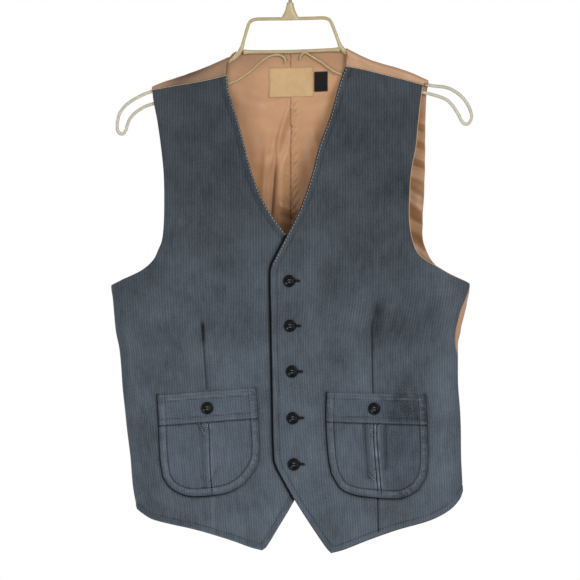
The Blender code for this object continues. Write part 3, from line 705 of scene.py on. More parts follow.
@dataclass(frozen=True)
class Satin(Finish):
    """Acetate satin, woven with long floats: a soft broad gloss that runs along its creases."""

    title: str = "acetate satin"
    body: str = "#b8906f"
    deep: str = "#a67c5b"
    shadow: str = "#3e291b"
    sheen: str = "#d9c9b2"
    weave: Weave = Weave.SATIN
    # Real threads are about 0.1 mm apart: they are drawn at 0.8 mm, or they would not show.
    thread_mm: float = 0.8
    crush_mm: float = 22.0
    crush_height_mm: float = 0.9
    roughness: float = 0.36

    def dress(self, tree: bpy.types.NodeTree, shader: bpy.types.Node) -> None:
        """Float threads, faint crushing, a colour that turns with the cloth, painted sheen and painted shade.

        Args:
            tree: the material's tree.
            shader: the shader that they feed.
        """
        cloth = add_node(tree, "UVMap", settings={"uv_map": UV_NAME})
        across, along = self.weave.value
        count = 1000 / self.thread_mm
        threads = add_node(tree, "Mapping", {"Vector": cloth, "Scale": (count / across, count / along, 1.0)})
        floats = add_node(tree, "TexNoise", {"Vector": threads, "Scale": 1.0, "Detail": 1.0})
        crush_values = {"Vector": cloth, "Scale": 1000 / self.crush_mm, "Detail": 3.0, "Distortion": 0.6}
        crush = add_node(tree, "TexNoise", crush_values)
        broad = add_node(tree, "TexNoise", {"Vector": cloth, "Scale": 9.0, "Detail": 2.0})
        half = add_node(tree, "Math", {0: crush, 1: 0.5}, TIMES)
        tone = add_node(tree, "Math", {0: broad, 1: 0.6, 2: half}, TIMES_PLUS)
        share = add_node(tree, "MapRange", {"Value": tone, "From Min": 0.35, "From Max": 0.85})
        colour = add_node(tree, "Mix", {0: share, 6: linear(self.deep), 7: linear(self.body)}, BLEND)
        # Painted sheen takes the sheen colour; dark seams and painted shade take the shadow colour.
        for name, shown in (("wear", self.sheen), ("shade", self.shadow)):
            share = add_node(tree, "Attribute", settings={"attribute_name": name})
            colour = add_node(tree, "Mix", {0: share, 6: colour, 7: linear(shown)}, BLEND)
        soft = add_node(
            tree, "Bump", {"Strength": 1.0, "Distance": self.crush_height_mm * MM, "Height": crush}
        )
        fine_values = {"Strength": 0.25, "Distance": 0.0001, "Height": floats, "Normal": soft}
        fine = add_node(tree, "Bump", fine_values)
        feed(shader, {"Base Color": colour, "Normal": fine, "Roughness": self.roughness})
        feed(shader, {"Specular IOR Level": 0.5, "Sheen Weight": 0.15, "Sheen Tint": linear("#f0d8c0")})


@dataclass(frozen=True)
class Resin(Finish):
    """Polyester resin, cast and polished: near black, glossy, with a faint cloudy swirl."""

    title: str = "polyester resin"
    body: str = "#030405"
    swirl: str = "#0b0c0f"

    def dress(self, tree: bpy.types.NodeTree, shader: bpy.types.Node) -> None:
        """Cloudy swirl and a polish that varies a little.

        Args:
            tree: the material's tree.
            shader: the shader that they feed.
        """
        spot = add_node(tree, "TexCoord")
        cloud = add_node(tree, "TexNoise", {"Vector": spot, "Scale": 190.0, "Detail": 3.0, "Distortion": 1.2})
        colour = add_node(tree, "Mix", {0: cloud, 6: linear(self.body), 7: linear(self.swirl)}, BLEND)
        gloss = add_node(tree, "MapRange", {"Value": cloud, "To Min": 0.12, "To Max": 0.24})
        feed(shader, {"Base Color": colour, "Roughness": gloss, "IOR": 1.5, "Specular IOR Level": 0.14})


@dataclass(frozen=True)
class Thread(Finish):
    """Spun polyester sewing thread: matt, faintly twisted."""

    title: str
    body: str

    def dress(self, tree: bpy.types.NodeTree, shader: bpy.types.Node) -> None:
        """Twist marks along the thread.

        Args:
            tree: the material's tree.
            shader: the shader that they feed.
        """
        spot = add_node(tree, "TexCoord")
        twist = add_node(tree, "TexNoise", {"Vector": spot, "Scale": 900.0, "Detail": 1.0})
        dark = add_node(tree, "Mix", {0: 1.0, 6: linear(self.body), 7: linear("#b0b0b0")}, MULTIPLY)
        colour = add_node(tree, "Mix", {0: twist, 6: dark, 7: linear(self.body)}, BLEND)
        feed(shader, {"Base Color": colour, "Roughness": 0.8, "Specular IOR Level": 0.2})


@dataclass(frozen=True)
class LabelCloth(Finish):
    """Damask label ribbon, woven polyester: flat, tight, with a plain woven border."""

    title: str
    body: str
    border: str
    # Real label threads are about 0.1 mm apart: they are drawn at 0.7 mm, or they would not show.
    thread_mm: float = 0.7

    def dress(self, tree: bpy.types.NodeTree, shader: bpy.types.Node) -> None:
        """Plain weave, slight clouding, and the border line where the cloth carries it.

        Args:
            tree: the material's tree.
            shader: the shader that they feed.
        """
        cloth = add_node(tree, "UVMap", settings={"uv_map": UV_NAME})
        weave = add_node(tree, "TexChecker", {"Vector": cloth, "Scale": 1000 / self.thread_mm})
        cloud = add_node(tree, "TexNoise", {"Vector": cloth, "Scale": 60.0, "Detail": 3.0})
        edge = add_node(tree, "Attribute", settings={"attribute_name": "wear"})
        dull = add_node(tree, "Mix", {0: 1.0, 6: linear(self.body), 7: linear("#dcd4c8")}, MULTIPLY)
        colour = add_node(tree, "Mix", {0: cloud, 6: linear(self.body), 7: dull}, BLEND)
        colour = add_node(tree, "Mix", {0: edge, 6: colour, 7: linear(self.border)}, BLEND)
        bump = add_node(tree, "Bump", {"Strength": 0.4, "Distance": 0.0001, "Height": weave.outputs["Fac"]})
        feed(shader, {"Base Color": colour, "Normal": bump, "Roughness": 0.8, "Specular IOR Level": 0.25})


@dataclass(frozen=True)
class ClearPlastic(Finish):
    """Polystyrene, injection moulded: a soft milky shine, yellowed to amber near its thick middle."""

    title: str = "yellowed polystyrene"
    pale: str = "#d6d3c2"
    amber: str = "#cbb98f"

    def dress(self, tree: bpy.types.NodeTree, shader: bpy.types.Node) -> None:
        """Amber middle, paler ends, faint clouding and a slightly dulled polish.

        Args:
            tree: the material's tree.
            shader: the shader that they feed.
        """
        spot = add_node(tree, "TexCoord")
        across = add_node(tree, "SeparateXYZ", {0: spot})
        reach = add_node(tree, "Math", {0: across}, {"operation": "ABSOLUTE"})
        end = add_node(tree, "MapRange", {"Value": reach, "From Min": 0.06, "From Max": 0.19})
        cloud = add_node(tree, "TexNoise", {"Vector": spot, "Scale": 40.0, "Detail": 2.0})
        colour = add_node(tree, "Mix", {0: end, 6: linear(self.amber), 7: linear(self.pale)}, BLEND)
        dull = add_node(tree, "Mix", {0: 1.0, 6: colour, 7: linear("#d2cdc0")}, MULTIPLY)
        colour = add_node(tree, "Mix", {0: cloud, 6: colour, 7: dull}, BLEND)
        gloss = add_node(tree, "MapRange", {"Value": cloud, "To Min": 0.3, "To Max": 0.42})
        feed(shader, {"Base Color": colour, "Roughness": gloss, "IOR": 1.59, "Transmission Weight": 0.2})


@dataclass(frozen=True)
class Steel(Finish):
    """Steel wire, drawn and nickel plated: bright, with small dull spots."""

    title: str = "plated steel wire"
    body: str = "#b9b1a2"

    def dress(self, tree: bpy.types.NodeTree, shader: bpy.types.Node) -> None:
        """Dull spots in the plating.

        Args:
            tree: the material's tree.
            shader: the shader that they feed.
        """
        spot = add_node(tree, "TexCoord")
        tarnish = add_node(tree, "TexNoise", {"Vector": spot, "Scale": 160.0, "Detail": 4.0})
        dull = add_node(tree, "Mix", {0: 1.0, 6: linear(self.body), 7: linear("#9c8f7c")}, MULTIPLY)
        colour = add_node(tree, "Mix", {0: tarnish, 6: linear(self.body), 7: dull}, BLEND)
        gloss = add_node(tree, "MapRange", {"Value": tarnish, "To Min": 0.16, "To Max": 0.4})
        feed(shader, {"Base Color": colour, "Roughness": gloss, "Metallic": 1.0})


@dataclass(frozen=True)
class PaleFloor(Finish):
    """Matt painted board: near white with no gloss."""

    title: str = "painted board"
    body: str = "#f2f1ef"

    def dress(self, tree: bpy.types.NodeTree, shader: bpy.types.Node) -> None:
        """Faint unevenness of the paint.

        Args:
            tree: the material's tree.
            shader: the shader that they feed.
        """
        spot = add_node(tree, "TexCoord")
        cloud = add_node(tree, "TexNoise", {"Vector": spot, "Scale": 3.0})
        colour = add_node(tree, "Mix", {0: cloud, 6: linear(self.body), 7: linear("#ecebe8")}, BLEND)
        feed(shader, {"Base Color": colour, "Roughness": 0.9})


CORDUROY = Corduroy()
# The pockets' top and low colours carry the same painted light, over a smaller range.
POCKET_CORDUROY = Corduroy(title="pinwale corduroy of the pockets", top="#4c545d", low="#515963")
SATIN = Satin(deep="#ad8462", crush_height_mm=0.5, crush_mm=34.0, roughness=0.4)
LINING = Satin(
    title="acetate lining", body="#c2956d", deep="#b2855f", weave=Weave.TAFFETA, crush_height_mm=0.6,
    roughness=0.43
)
RESIN = Resin()
EDGE_THREAD = Thread("edge thread of spun polyester", "#cfc0a8")
HEM_THREAD = Thread("hem thread of spun polyester", "#85837f")
TOP_THREAD = Thread("top thread of spun polyester", "#2a3038")
TACK_THREAD = Thread("tack thread of spun polyester", "#98a0aa")
BORDER_THREAD = Thread("border thread of spun polyester", "#8a929c")
BUTTON_THREAD = Thread("button thread of spun polyester", "#6b727a")
DARK_THREAD = Thread("buttonhole thread of spun polyester", "#0a0c10")
TAN_THREAD = Thread("lining thread of spun polyester", "#a9825f")
CREAM_LABEL = LabelCloth("cream woven label", "#cbac82", "#a5825c")
BLACK_LABEL = LabelCloth("black woven label", "#121114", "#28262c")
PLASTIC = ClearPlastic()
STEEL = Steel()
FLOOR = PaleFloor()


def new_object(
    name: str, points: Array, faces: Sequence[Sequence[int]], finishes: Sequence[Finish]
) -> bpy.types.Object:
    """Smooth object from points in metres.

    Args:
        name: the piece's name.
        points: its vertices.
        faces: its faces, already facing outwards.
        finishes: one for each material slot.

    Returns:
        The object, in the scene.
    """
    mesh = bpy.data.meshes.new(name)
    mesh.from_pydata([tuple(map(float, p)) for p in points], [], [tuple(map(int, f)) for f in faces])
    mesh.validate()
    mesh.shade_smooth()
    for finish in finishes:
        mesh.materials.append(finish.material())
    item = bpy.data.objects.new(name, mesh)
    bpy.context.scene.collection.objects.link(item)
    return item


def set_values(mesh: bpy.types.Mesh, name: str, values: Array) -> None:
    """Store one number for each vertex."""
    mesh.attributes.new(name, "FLOAT", "POINT").data.foreach_set("value", values.astype(np.float32))


@dataclass
class Panel:
    """A closed cloth wall over a flat outline, with rounded edges."""

    form: BodyForm
    name: str
    node: str
    outline: Array
    lift: float
    thick: float
    outer: Finish
    inner: Finish
    sunk: bool = False
    grid: float = 3.6
    rim_rows: tuple[float, ...] = (0.3, 0.9, 1.9)
    features: list[Array] = field(default_factory=list)
    fine_boxes: list[tuple[Array, Array, float]] = field(default_factory=list)

    # Each of the next six methods reads flat places and gives one value for each of them.

    def relief(self, places: Array) -> Array:
        """How far the whole wall stands out from the body's form."""
        return np.zeros(len(places))

    def extra(self, places: Array) -> Array:
        """How far the outer face alone stands out further."""
        return np.zeros(len(places))

    def wear(self, places: Array) -> Array:
        """Share of the second colour: rubbed pile and painted highlights on cloth, the woven border on a
        label.
        """
        return np.zeros(len(places))

    def shade(self, places: Array) -> Array:
        """Share of the dark colour: dark seams and painted shade."""
        return np.zeros(len(places))

    def under_shade(self, places: Array) -> Array:
        """Share of the dark colour on the inner face: dark seams and painted shade."""
        return self.shade(places)

    def tone(self, places: Array) -> Array:
        """Painted light and shade: how much lighter the cloth is than its own colour; less than 0 is darker.
        """
        return np.zeros(len(places))

    def rim(self, places: Array) -> Array:
        """Share of the full thickness, rounded off towards the outline.

        Args:
            places: flat places.

        Returns:
            0 at the outline and 1 where the wall has its full thickness.
        """
        inward = 1 - np.clip(away(places, closed(self.outline)) / (self.thick / 2), 0, 1)
        return np.sqrt(np.clip(1 - inward * inward, 0, 1))

    def points_at(self, places: Array, height: Array) -> tuple[Array, Array]:
        """Points over the wall's middle, in millimetres.

        Args:
            places: flat places.
            height: how far from the wall's middle, outwards.

        Returns:
            The points, and the outward directions.
        """
        out = self.form.outward(places, self.sunk)
        reach = self.lift + self.relief(places) + height
        return self.form.middle(places, self.sunk) + out * reach[:, None], out

    def on_top(self, places: Array, gap: float = 0.0) -> tuple[Array, Array]:
        """Points on the outer face, a gap above it, and the outward directions."""
        return self.points_at(places, self.thick / 2 + self.extra(places) + gap)

    def mesh_places(self) -> tuple[Array, Array]:
        """Triangles that fill the outline.

        Returns:
            The flat places that they use, and the triangles.
        """
        border = self.outline
        ring = closed(border)
        rows = [border]
        along = np.roll(border, -1, axis=0) - np.roll(border, 1, axis=0)
        along /= np.maximum(np.hypot(along[:, 0], along[:, 1]), 1e-9)[:, None]
        side = np.stack((-along[:, 1], along[:, 0]), axis=1)
        for reach in self.rim_rows:
            for sign in (1, -1):
                moved = border + side * reach * sign
                rows.append(moved[inside(moved, border) & (away(moved, ring) > reach * 0.85)])
        rows.extend(line[inside(line, border) & (away(line, ring) > 0.5)] for line in self.features)
        grid = self.lattice(border.min(axis=0), border.max(axis=0), self.grid)
        for low, high, pitch in self.fine_boxes:
            grid = grid[((grid < low) | (grid > high)).any(axis=1)]
            rows.append(self.lattice(low, high, pitch))
        rows.append(grid)
        places = np.concatenate(rows)
        count = len(border)
        edges = [(i, (i + 1) % count) for i in range(count)]
        found = delaunay_2d_cdt([Vector(p) for p in places], edges, [], 0, 1e-3)
        flat = np.array([tuple(p) for p in found[0]])
        triangles = np.array([tuple(f) for f in found[2]])
        middles = flat[triangles].mean(axis=1)
        triangles = triangles[inside(middles, border) & (away(middles, ring) > 0.01)]
        used = np.unique(triangles)
        slot = np.full(len(flat), -1)
        slot[used] = np.arange(len(used))
        return flat[used], slot[triangles]

    def lattice(self, low: Array, high: Array, pitch: float) -> Array:
        """Even places inside the outline, clear of its rim and of the feature lines.

        Args:
            low: least girth and drop.
            high: greatest girth and drop.
            pitch: distance between places.

        Returns:
            The flat places.
        """
        across = np.arange(low[0], high[0], pitch)
        down = np.arange(low[1], high[1], pitch * 0.87)
        girth, drop = np.meshgrid(across, down)
        girth[1::2] += pitch / 2
        places = np.stack((girth.ravel(), drop.ravel()), axis=1)
        places = places[inside(places, self.outline)]
        places = places[away(places, closed(self.outline)) > self.rim_rows[-1] + pitch * 0.4]
        for line in self.features:
            if len(line) > 1:
                places = places[away(places, line) > pitch * 0.38]
        return places

    def build(self) -> bpy.types.Object:
        """Make the wall as one closed mesh.

        Returns:
            The object.
        """
        places, faces = self.mesh_places()
        edges = {(int(f[i]), int(f[i - 2])) for f in faces for i in range(3)}
        border = sorted({v for a, b in edges if (b, a) not in edges for v in (a, b)})
        share = self.rim(places)
        share[border] = 0
        half = self.thick / 2
        extra = self.extra(places) * share
        top, _ = self.points_at(places, half * share + extra)
        bottom, _ = self.points_at(places, -half * share)
        under = np.arange(len(places)) + len(places)
        under[border] = border
        points = np.concatenate((top, bottom)) * MM
        low_faces = under[faces][:, ::-1]
        item = new_object(self.name, points, np.concatenate((faces, low_faces)), (self.outer, self.inner))
        mesh = item.data
        count = len(faces)
        middle = mesh.polygons[count // 2]
        spot = np.array([tuple(mesh.vertices[i].co) for i in middle.vertices]).mean(axis=0)
        if middle.normal[1] * (-1 if spot[1] < 0 else 1) < 0:
            mesh.flip_normals()
        mesh.polygons.foreach_set("material_index", [0] * count + [1] * count)
        flat = np.concatenate((places, places))
        layer = mesh.uv_layers.new(name=UV_NAME)
        corner = np.empty(len(mesh.loops), dtype=np.int32)
        mesh.loops.foreach_get("vertex_index", corner)
        uv = np.stack((flat[corner, 0] * MM, -flat[corner, 1] * MM), axis=1)
        layer.data.foreach_set("uv", uv.astype(np.float32).ravel())
        # Shares for the material: rubbed pile with painted highlights, dark seams with painted shade, painted
        # light and shade.
        set_values(mesh, "wear", np.concatenate((self.wear(places), np.zeros(len(places)))))
        set_values(mesh, "shade", np.concatenate((self.shade(places), self.under_shade(places))))
        set_values(mesh, "tone", np.concatenate((self.tone(places), np.zeros(len(places)))))
        self.paint(mesh, places, faces)
        self.drop_loose(mesh)
        return item

    def paint(self, mesh: bpy.types.Mesh, places: Array, faces: Array) -> None:
        """Give some outer faces another material; here, none."""

    def drop_loose(self, mesh: bpy.types.Mesh) -> None:
        """Remove the vertices that no face uses.

        Args:
            mesh: the wall's mesh.
        """
        with edited(mesh) as work:
            loose = [v for v in work.verts if not v.link_faces]
            bmesh.ops.delete(work, geom=loose, context="VERTS")

    def area(self) -> float:
        """Flat area of the cut in square metres."""
        return polygon_area(self.outline) * MM * MM

    def flat_size(self) -> tuple[float, float]:
        """Width and length of the flat cut in metres."""
        size = (self.outline.max(axis=0) - self.outline.min(axis=0)) * MM
        return float(size[0]), float(size[1])


@dataclass
class SideSeams:
    """Where the fronts meet the back down both sides."""

    form: BodyForm
    left_turns: Rows = (
        (419.5, 88), (440, 79), (460, 74), (481, 74), (500, 78), (515, 85), (546, 94), (600, 99), (700, 100)
    )
    # Degrees round the body at the right underarm and below, and the drop over which they change.
    right_turns: tuple[float, float] = (88.0, 100.0)
    right_ease: float = 80.0
    left_drops: tuple[float, float] = (419.5, 691.0)
    right_drops: tuple[float, float] = (421.5, 714.0)
    gap: float = -0.1

    def line(self, side: Side, step: float = 3.0) -> Array:
        """Flat places down a side seam.

        Args:
            side: which side.
            step: distance between places.

        Returns:
            The places, from the underarm to the hem.
        """
        top, foot = self.left_drops if side is Side.LEFT else self.right_drops
        drops = np.linspace(top, foot, round((foot - top) / step) + 1)
        if side is Side.LEFT:
            turn = np.radians(curve_values(self.left_turns, drops))
        else:
            first, last = self.right_turns
            turn = -np.radians(first + (last - first) * smooth_step((drops - top) / self.right_ease))
        return np.stack((self.form.girth(turn), drops), axis=1)


@dataclass(frozen=True)
class FrontCut:
    """Edges of one front as x and drop rows, how its edges show, and the painted shade and highlight of its
    darts.
    """

    shoulder: Rows
    neck: Rows
    centre: Rows
    point: Rows
    hem: Rows
    armhole: Rows
    dart: Rows
    low_dart: Rows
    edge_inset: float
    dart_shade: float
    dart_rises: tuple[float, float]
    dart_highlight: float


FRONT_CUTS: dict[Side, FrontCut] = {
    Side.LEFT: FrontCut(
        shoulder=((174, 161.5), (148, 154.5), (122, 148), (96, 141.5), (72.5, 137)),
        neck=((72.5, 137), (64, 160), (53, 200), (38, 241), (27, 283), (12, 325), (-4, 357), (-23, 394)),
        centre=((-23, 394), (-25.5, 405), (-24.5, 468), (-23, 548), (-20.5, 648), (-16.5, 661)),
        point=((-16.5, 661), (6, 701.5), (31, 740.5), (48, 765), (53.5, 770.5)),
        hem=(
            (53.5, 770.5), (69, 766.5), (101, 754), (138, 741), (183, 728), (208, 715), (221, 701),
            (224.3, 691)
        ),
        armhole=(
            (233.6, 419.5), (229, 417), (208, 407.5), (191, 397.5), (173.5, 387), (164, 376), (158, 356),
            (155.5, 335), (156, 304), (158.5, 272.5), (164.5, 241), (168, 205), (172, 172), (174, 161.5)
        ),
        dart=((122, 436), (108, 468), (107, 500), (108, 562)), low_dart=((114, 698), (115, 742)),
        edge_inset=2.1, dart_shade=0.95, dart_rises=(20.0, -20.0), dart_highlight=0.0
    ),
    Side.RIGHT: FrontCut(
        shoulder=((-82.5, 149), (-101, 153.5), (-120, 157.5), (-150, 162.5), (-179.5, 168)),
        neck=(
            (-82.5, 149), (-79.5, 170), (-67, 210), (-59, 241), (-50.5, 272.5), (-39, 304), (-21.5, 335),
            (-4, 358), (22, 396)
        ),
        centre=((22, 396), (24, 407), (24, 468), (24.5, 548), (26, 648), (25.5, 661)),
        point=((25.5, 661), (6, 701.5), (-17, 740.5), (-31, 763), (-36.5, 767)),
        hem=(
            (-36.5, 767), (-50, 763.5), (-78, 753.5), (-122, 740.5), (-178, 727.5), (-193, 719),
            (-198.5, 714.5)
        ),
        armhole=(
            (-231.6, 421.5), (-219.5, 415.5), (-192.5, 402.5), (-178, 389.5), (-171.5, 376.5),
            (-166.5, 363.5), (-164, 338), (-164, 286), (-167.5, 247), (-173, 208), (-178, 182), (-179.5, 168)
        ),
        dart=((-113, 470), (-112.3, 498), (-108, 557)), low_dart=((-100, 697), (-99.5, 745)), edge_inset=1.15,
        dart_shade=0.8, dart_rises=(-12.0, -20.0), dart_highlight=0.6
    )
}


@dataclass
class Front(Panel):
    """Corduroy front with its turned edges, topstitching, darts and satin facing inside."""

    side: Side = Side.LEFT
    stitch_inset: float = 8.0
    edge_lift: float = 1.6
    dart_depth: float = 0.8
    dart_run: float = 26.0
    slits: list[Array] = field(default_factory=list)
    # Contact shadows are painted shadows beside the pieces that lie on the cloth.
    # Each contact is a line, the share of dark colour at its start, its width, and what is gone at its end.
    contact_shadows: list[tuple[Array, float, float, float]] = field(default_factory=list)
    rows: FrontCut = field(init=False)
    finished_edge: Array = field(init=False)
    armhole_edge: Array = field(init=False)
    shoulder_edge: Array = field(init=False)
    stitch_line: Array = field(init=False)
    edge_line: Array = field(init=False)
    darts: list[Array] = field(init=False)
    # Patches of painted light and shade over the folds, lighter on ridges and darker in troughs, and at the
    # darts' tops.
    tones: Rows = (
        (28, 255, 28, 470, 13, 0.16), (54, 400, 50, 500, 13, -0.10), (80, 400, 78, 540, 14, 0.07),
        (116, 425, 110, 500, 9, -0.20), (155, 280, 146, 410, 24, -0.16), (70, 150, 150, 260, 40, -0.06),
        (196, 400, 214, 500, 9, 0.16), (204, 470, 206, 700, 15, 0.14), (150, 480, 150, 700, 30, -0.16),
        (60, 620, 130, 720, 30, 0.04), (-150, 280, -45, 325, 28, -0.12), (-150, 150, -110, 230, 34, -0.04),
        (-60, 365, -30, 430, 22, 0.08), (-222, 430, -214, 640, 10, -0.12), (-185, 430, -180, 640, 18, -0.06),
        (-180, 640, -170, 700, 26, 0.05), (-60, 450, -60, 540, 30, -0.05), (-130, 470, -128, 540, 16, 0.05),
        (-186, 600, -178, 710, 16, -0.20), (-32, 590, -28, 690, 12, -0.10), (96, 300, 100, 376, 42, -0.13),
        (58, 440, 58, 540, 30, -0.10), (40, 716, 140, 712, 16, -0.16), (170, 440, 170, 530, 26, -0.08),
        (-113.5, 473, -112.5, 496, 2.6, -0.75), (114, 448, 112, 482, 6, -0.34),
        (126, 450, 128, 556, 15, -0.16), (-92, 390, -92, 440, 40, -0.06), (92, 380, 86, 430, 36, -0.08),
        (-62, 590, -44, 700, 12, -0.10)
    )

    @classmethod
    def cut(cls, form: BodyForm, seams: SideSeams, side: Side) -> "Front":
        """Cut one front.

        Args:
            form: how the body lies.
            seams: the side seams.
            side: which front.

        Returns:
            The front, not built yet.
        """
        rows = FRONT_CUTS[side]
        step = 3.0
        lines = [form.front_line(part, step) for part in (rows.neck, rows.centre, rows.point, rows.hem)]
        seam = seams.line(side)[::-1].copy()
        seam[:, 0] -= side.value * seams.gap / 2
        arm = form.front_line(rows.armhole, step)
        top = form.front_line(rows.shoulder, step)
        if side is Side.RIGHT:
            top = top[::-1]
        panel = cls(
            form=form, name="vest_front_" + side.word, node="front_" + side.word,
            outline=join_outline(*lines, seam, arm, top), lift=0.0, thick=2.0, outer=CORDUROY, inner=LINING,
            sunk=side is Side.RIGHT, side=side
        )
        panel.rows = rows
        panel.finished_edge = join_lines(*lines)
        panel.armhole_edge = arm
        panel.shoulder_edge = top
        panel.darts = [form.front_line(part, 2.4) for part in (rows.dart, rows.low_dart)]
        panel.stitch_line = inset(panel.finished_edge, -panel.stitch_inset * side.value)
        panel.edge_line = inset(panel.finished_edge, -rows.edge_inset * side.value)
        panel.features.extend(even_line(line, 3.0) for line in (panel.stitch_line, panel.edge_line))
        panel.features.extend(even_line(line, 3.2) for line in beside(panel.stitch_line, -1.3, 1.3))
        for dart in panel.darts:
            panel.features.extend(beside(dart, -2.6, -1.2, 0.0, 1.2, 2.6))
        return panel

    def relief(self, places: Array) -> Array:
        """Soft unevenness of the hung cloth, ripples along its stitched edges, and darts.

        Args:
            places: flat places.

        Returns:
            How far the wall stands out at each place.
        """
        total = 0.35 * ripples(places, 70, 3 + self.side.value, 2.0)
        total += 0.14 * ripples(places, 24, 11 + self.side.value, 1.6)
        distance, run = nearest(places, self.finished_edge)
        wave = np.sin(run / 4.6 + 1.7 * np.sin(run / 31)) * hump(distance - 6, 8)
        total += 0.16 * wave
        for dart, rise in zip(self.darts, self.rows.dart_rises):
            gap, along = nearest(places, dart)
            length = line_length(dart)
            fade = smooth_step((along - rise) / self.dart_run) * smooth_step((length - along + 14) / 14)
            wide = smooth_step(along / self.dart_run) * hump(gap, 7)
            total -= self.dart_depth * fade * hump(gap, 1.6) + wide
        near_top = smooth_step((places[:, 1] - 175) / 60)
        if self.side is Side.LEFT:
            overlap = smooth_step((places[:, 1] - 330) / 40) * smooth_step((672 - places[:, 1]) / 14)
            total += self.edge_lift * hump(distance, 11) * overlap
        return total * near_top

    def extra(self, places: Array) -> Array:
        """Puffy turned edge, and the groove that its topstitching pulls in.

        Args:
            places: flat places.

        Returns:
            Height of the outer face at each place.
        """
        distance = away(places, self.finished_edge)
        total = 0.45 * smooth_step(distance / 2.2) * smooth_step((self.stitch_inset - distance) / 2.4)
        total -= 0.35 * hump(distance - self.stitch_inset, 1.1)
        total -= 0.2 * hump(distance - self.rows.edge_inset, 0.8)
        gap = away(places, self.armhole_edge)
        return total + 0.3 * smooth_step(gap / 2) * smooth_step((7 - gap) / 4)

    def wear(self, places: Array) -> Array:
        """Rubbed pile at the finished edges, and a painted highlight along the low dart.

        Args:
            places: flat places.

        Returns:
            Share of the pale colour, for rubbed pile and painted highlight, at each place.
        """
        patchy = 0.6 + 0.4 * ripples(places, 16, 7)
        total = 0.3 * hump(away(places, self.finished_edge), 1.3) * patchy
        # Painted highlight along the low dart.
        total += self.rows.dart_highlight * hump(away(places, self.darts[1]) - 0.6, 0.9)
        return np.clip(total, 0, 1)

    def shade(self, places: Array) -> Array:
        """Painted shade: darts, topstitch groove, the top front's edge, beside pieces on it, and buttonhole
        slits.

        Args:
            places: flat places.

        Returns:
            Share of the dark colour at each place.
        """
        distance = away(places, self.finished_edge)
        # Painted shade in the topstitch groove.
        total = 0.3 * hump(distance - self.stitch_inset, 0.9)
        # Painted shadow along the top front's edge; on the under front, painted shade in a band inside its
        # edge.
        if self.side is Side.LEFT:
            total += 0.85 * hump(distance, 0.9)
        else:
            total += 0.25 * hump(distance - 4.5, 2.0)
        # Painted shade in the darts, less where the low dart carries a painted highlight.
        for dart, rise, pale in zip(self.darts, self.rows.dart_rises, (0.0, self.rows.dart_highlight)):
            gap, along = nearest(places, dart)
            line = hump(gap, 1.0) * smooth_step((along - rise) / self.dart_run)
            total += self.rows.dart_shade * (1 - pale) * line
        # Painted contact shadows beside pieces that lie on this front.
        for line, strength, width, fade in self.contact_shadows:
            gap, along = nearest(places, line)
            side_share = 1 - fade * smooth_step((along / line_length(line) - 0.45) / 0.25)
            total += strength * hump(gap, width) * side_share
        # Painted shade in the buttonhole slits.
        for slit in self.slits:
            total += 0.95 * hump(away(places, slit), 1.1)
        return np.clip(total, 0, 1)

    def tone(self, places: Array) -> Array:
        """Painted light and shade: broad lighter and darker patches over the folds."""
        return fold_height(self.tones, self.form.middle(places)[:, 0], places[:, 1])

    def touch(self, line: Array, strength: float, fade: float) -> None:
        """Paint a contact shadow beside the edge of a piece that lies on the cloth.

        Args:
            line: flat places along that edge.
            strength: share of the dark colour at its start.
            fade: how much of it is gone at its end.
        """
        self.contact_shadows.append((line, strength, 2.1, fade))
        self.features.extend(even_line(near, 2.6) for near in beside(line, -2.4, -0.9, 0.9, 2.4))

    def paint(self, mesh: bpy.types.Mesh, places: Array, faces: Array) -> None:
        """Let the satin facing show as a fine rolled line along the left armhole.

        Args:
            mesh: the front's mesh.
            places: its flat places.
            faces: its outer triangles.
        """
        if self.side is Side.RIGHT:
            return
        middles = places[faces].mean(axis=1)
        rolled = (away(middles, self.armhole_edge) < 0.75) & (away(middles, self.finished_edge) > 8)
        for index in np.nonzero(rolled)[0]:
            mesh.polygons[int(index)].material_index = 1


@dataclass(frozen=True)
class PocketCut:
    """Edges and details of one pocket as x and drop rows, and the strength of painted shade in creases and
    far edge.
    """

    sides: Rows
    foot: Rows
    inner: Rows
    band: Rows
    open_edges: tuple[Rows, Rows]
    soft_creases: tuple[Rows, ...]
    tacks: tuple[Rows, ...]
    crease_shade: float
    far_fade: float


POCKET_CUTS: dict[Side, PocketCut] = {
    Side.RIGHT: PocketCut(
        sides=((-172, 565.5), (-170, 604), (-168, 648), (-164.5, 671)),
        foot=(
            (-164.5, 671), (-156, 684), (-143, 692.5), (-128, 696.5), (-100, 695), (-78, 690.5), (-60, 680)
        ),
        inner=((-60, 680), (-45, 659), (-40.5, 640), (-42, 600), (-45, 556)),
        band=((-171, 604.5), (-42.5, 594.5)),
        open_edges=(((-105.5, 601), (-104.3, 624), (-103.5, 656), (-101.4, 691)),),
        soft_creases=(((-117, 604), (-113, 640), (-111, 684)),),
        tacks=(((-118, 602), (-111, 617), (-105.5, 601)), ((-113, 671.5), (-101.5, 680), (-93.5, 662.5))),
        crease_shade=0.3, far_fade=0.6
    ),
    Side.LEFT: PocketCut(
        sides=((47.5, 562), (47, 600), (50, 645), (54, 667)),
        foot=((54, 667), (66, 686), (84, 694.5), (105, 697.5), (131, 699.5), (148, 698), (166, 688)),
        inner=((166, 688), (176, 670), (178.5, 649), (177.5, 605), (175, 565)),
        band=((47, 599), (177.5, 603.5)),
        open_edges=(((108.5, 603), (108.5, 624), (114.3, 694)), ((112.5, 603), (112.8, 624), (118.5, 694))),
        soft_creases=(((96, 601), (101.5, 672)), ((124, 602), (124.5, 660))),
        tacks=(((101.5, 667), (110.5, 677), (111, 664)), ((101, 603.5), (108, 618), (116.5, 604))),
        crease_shade=0.5, far_fade=0.3
    )
}


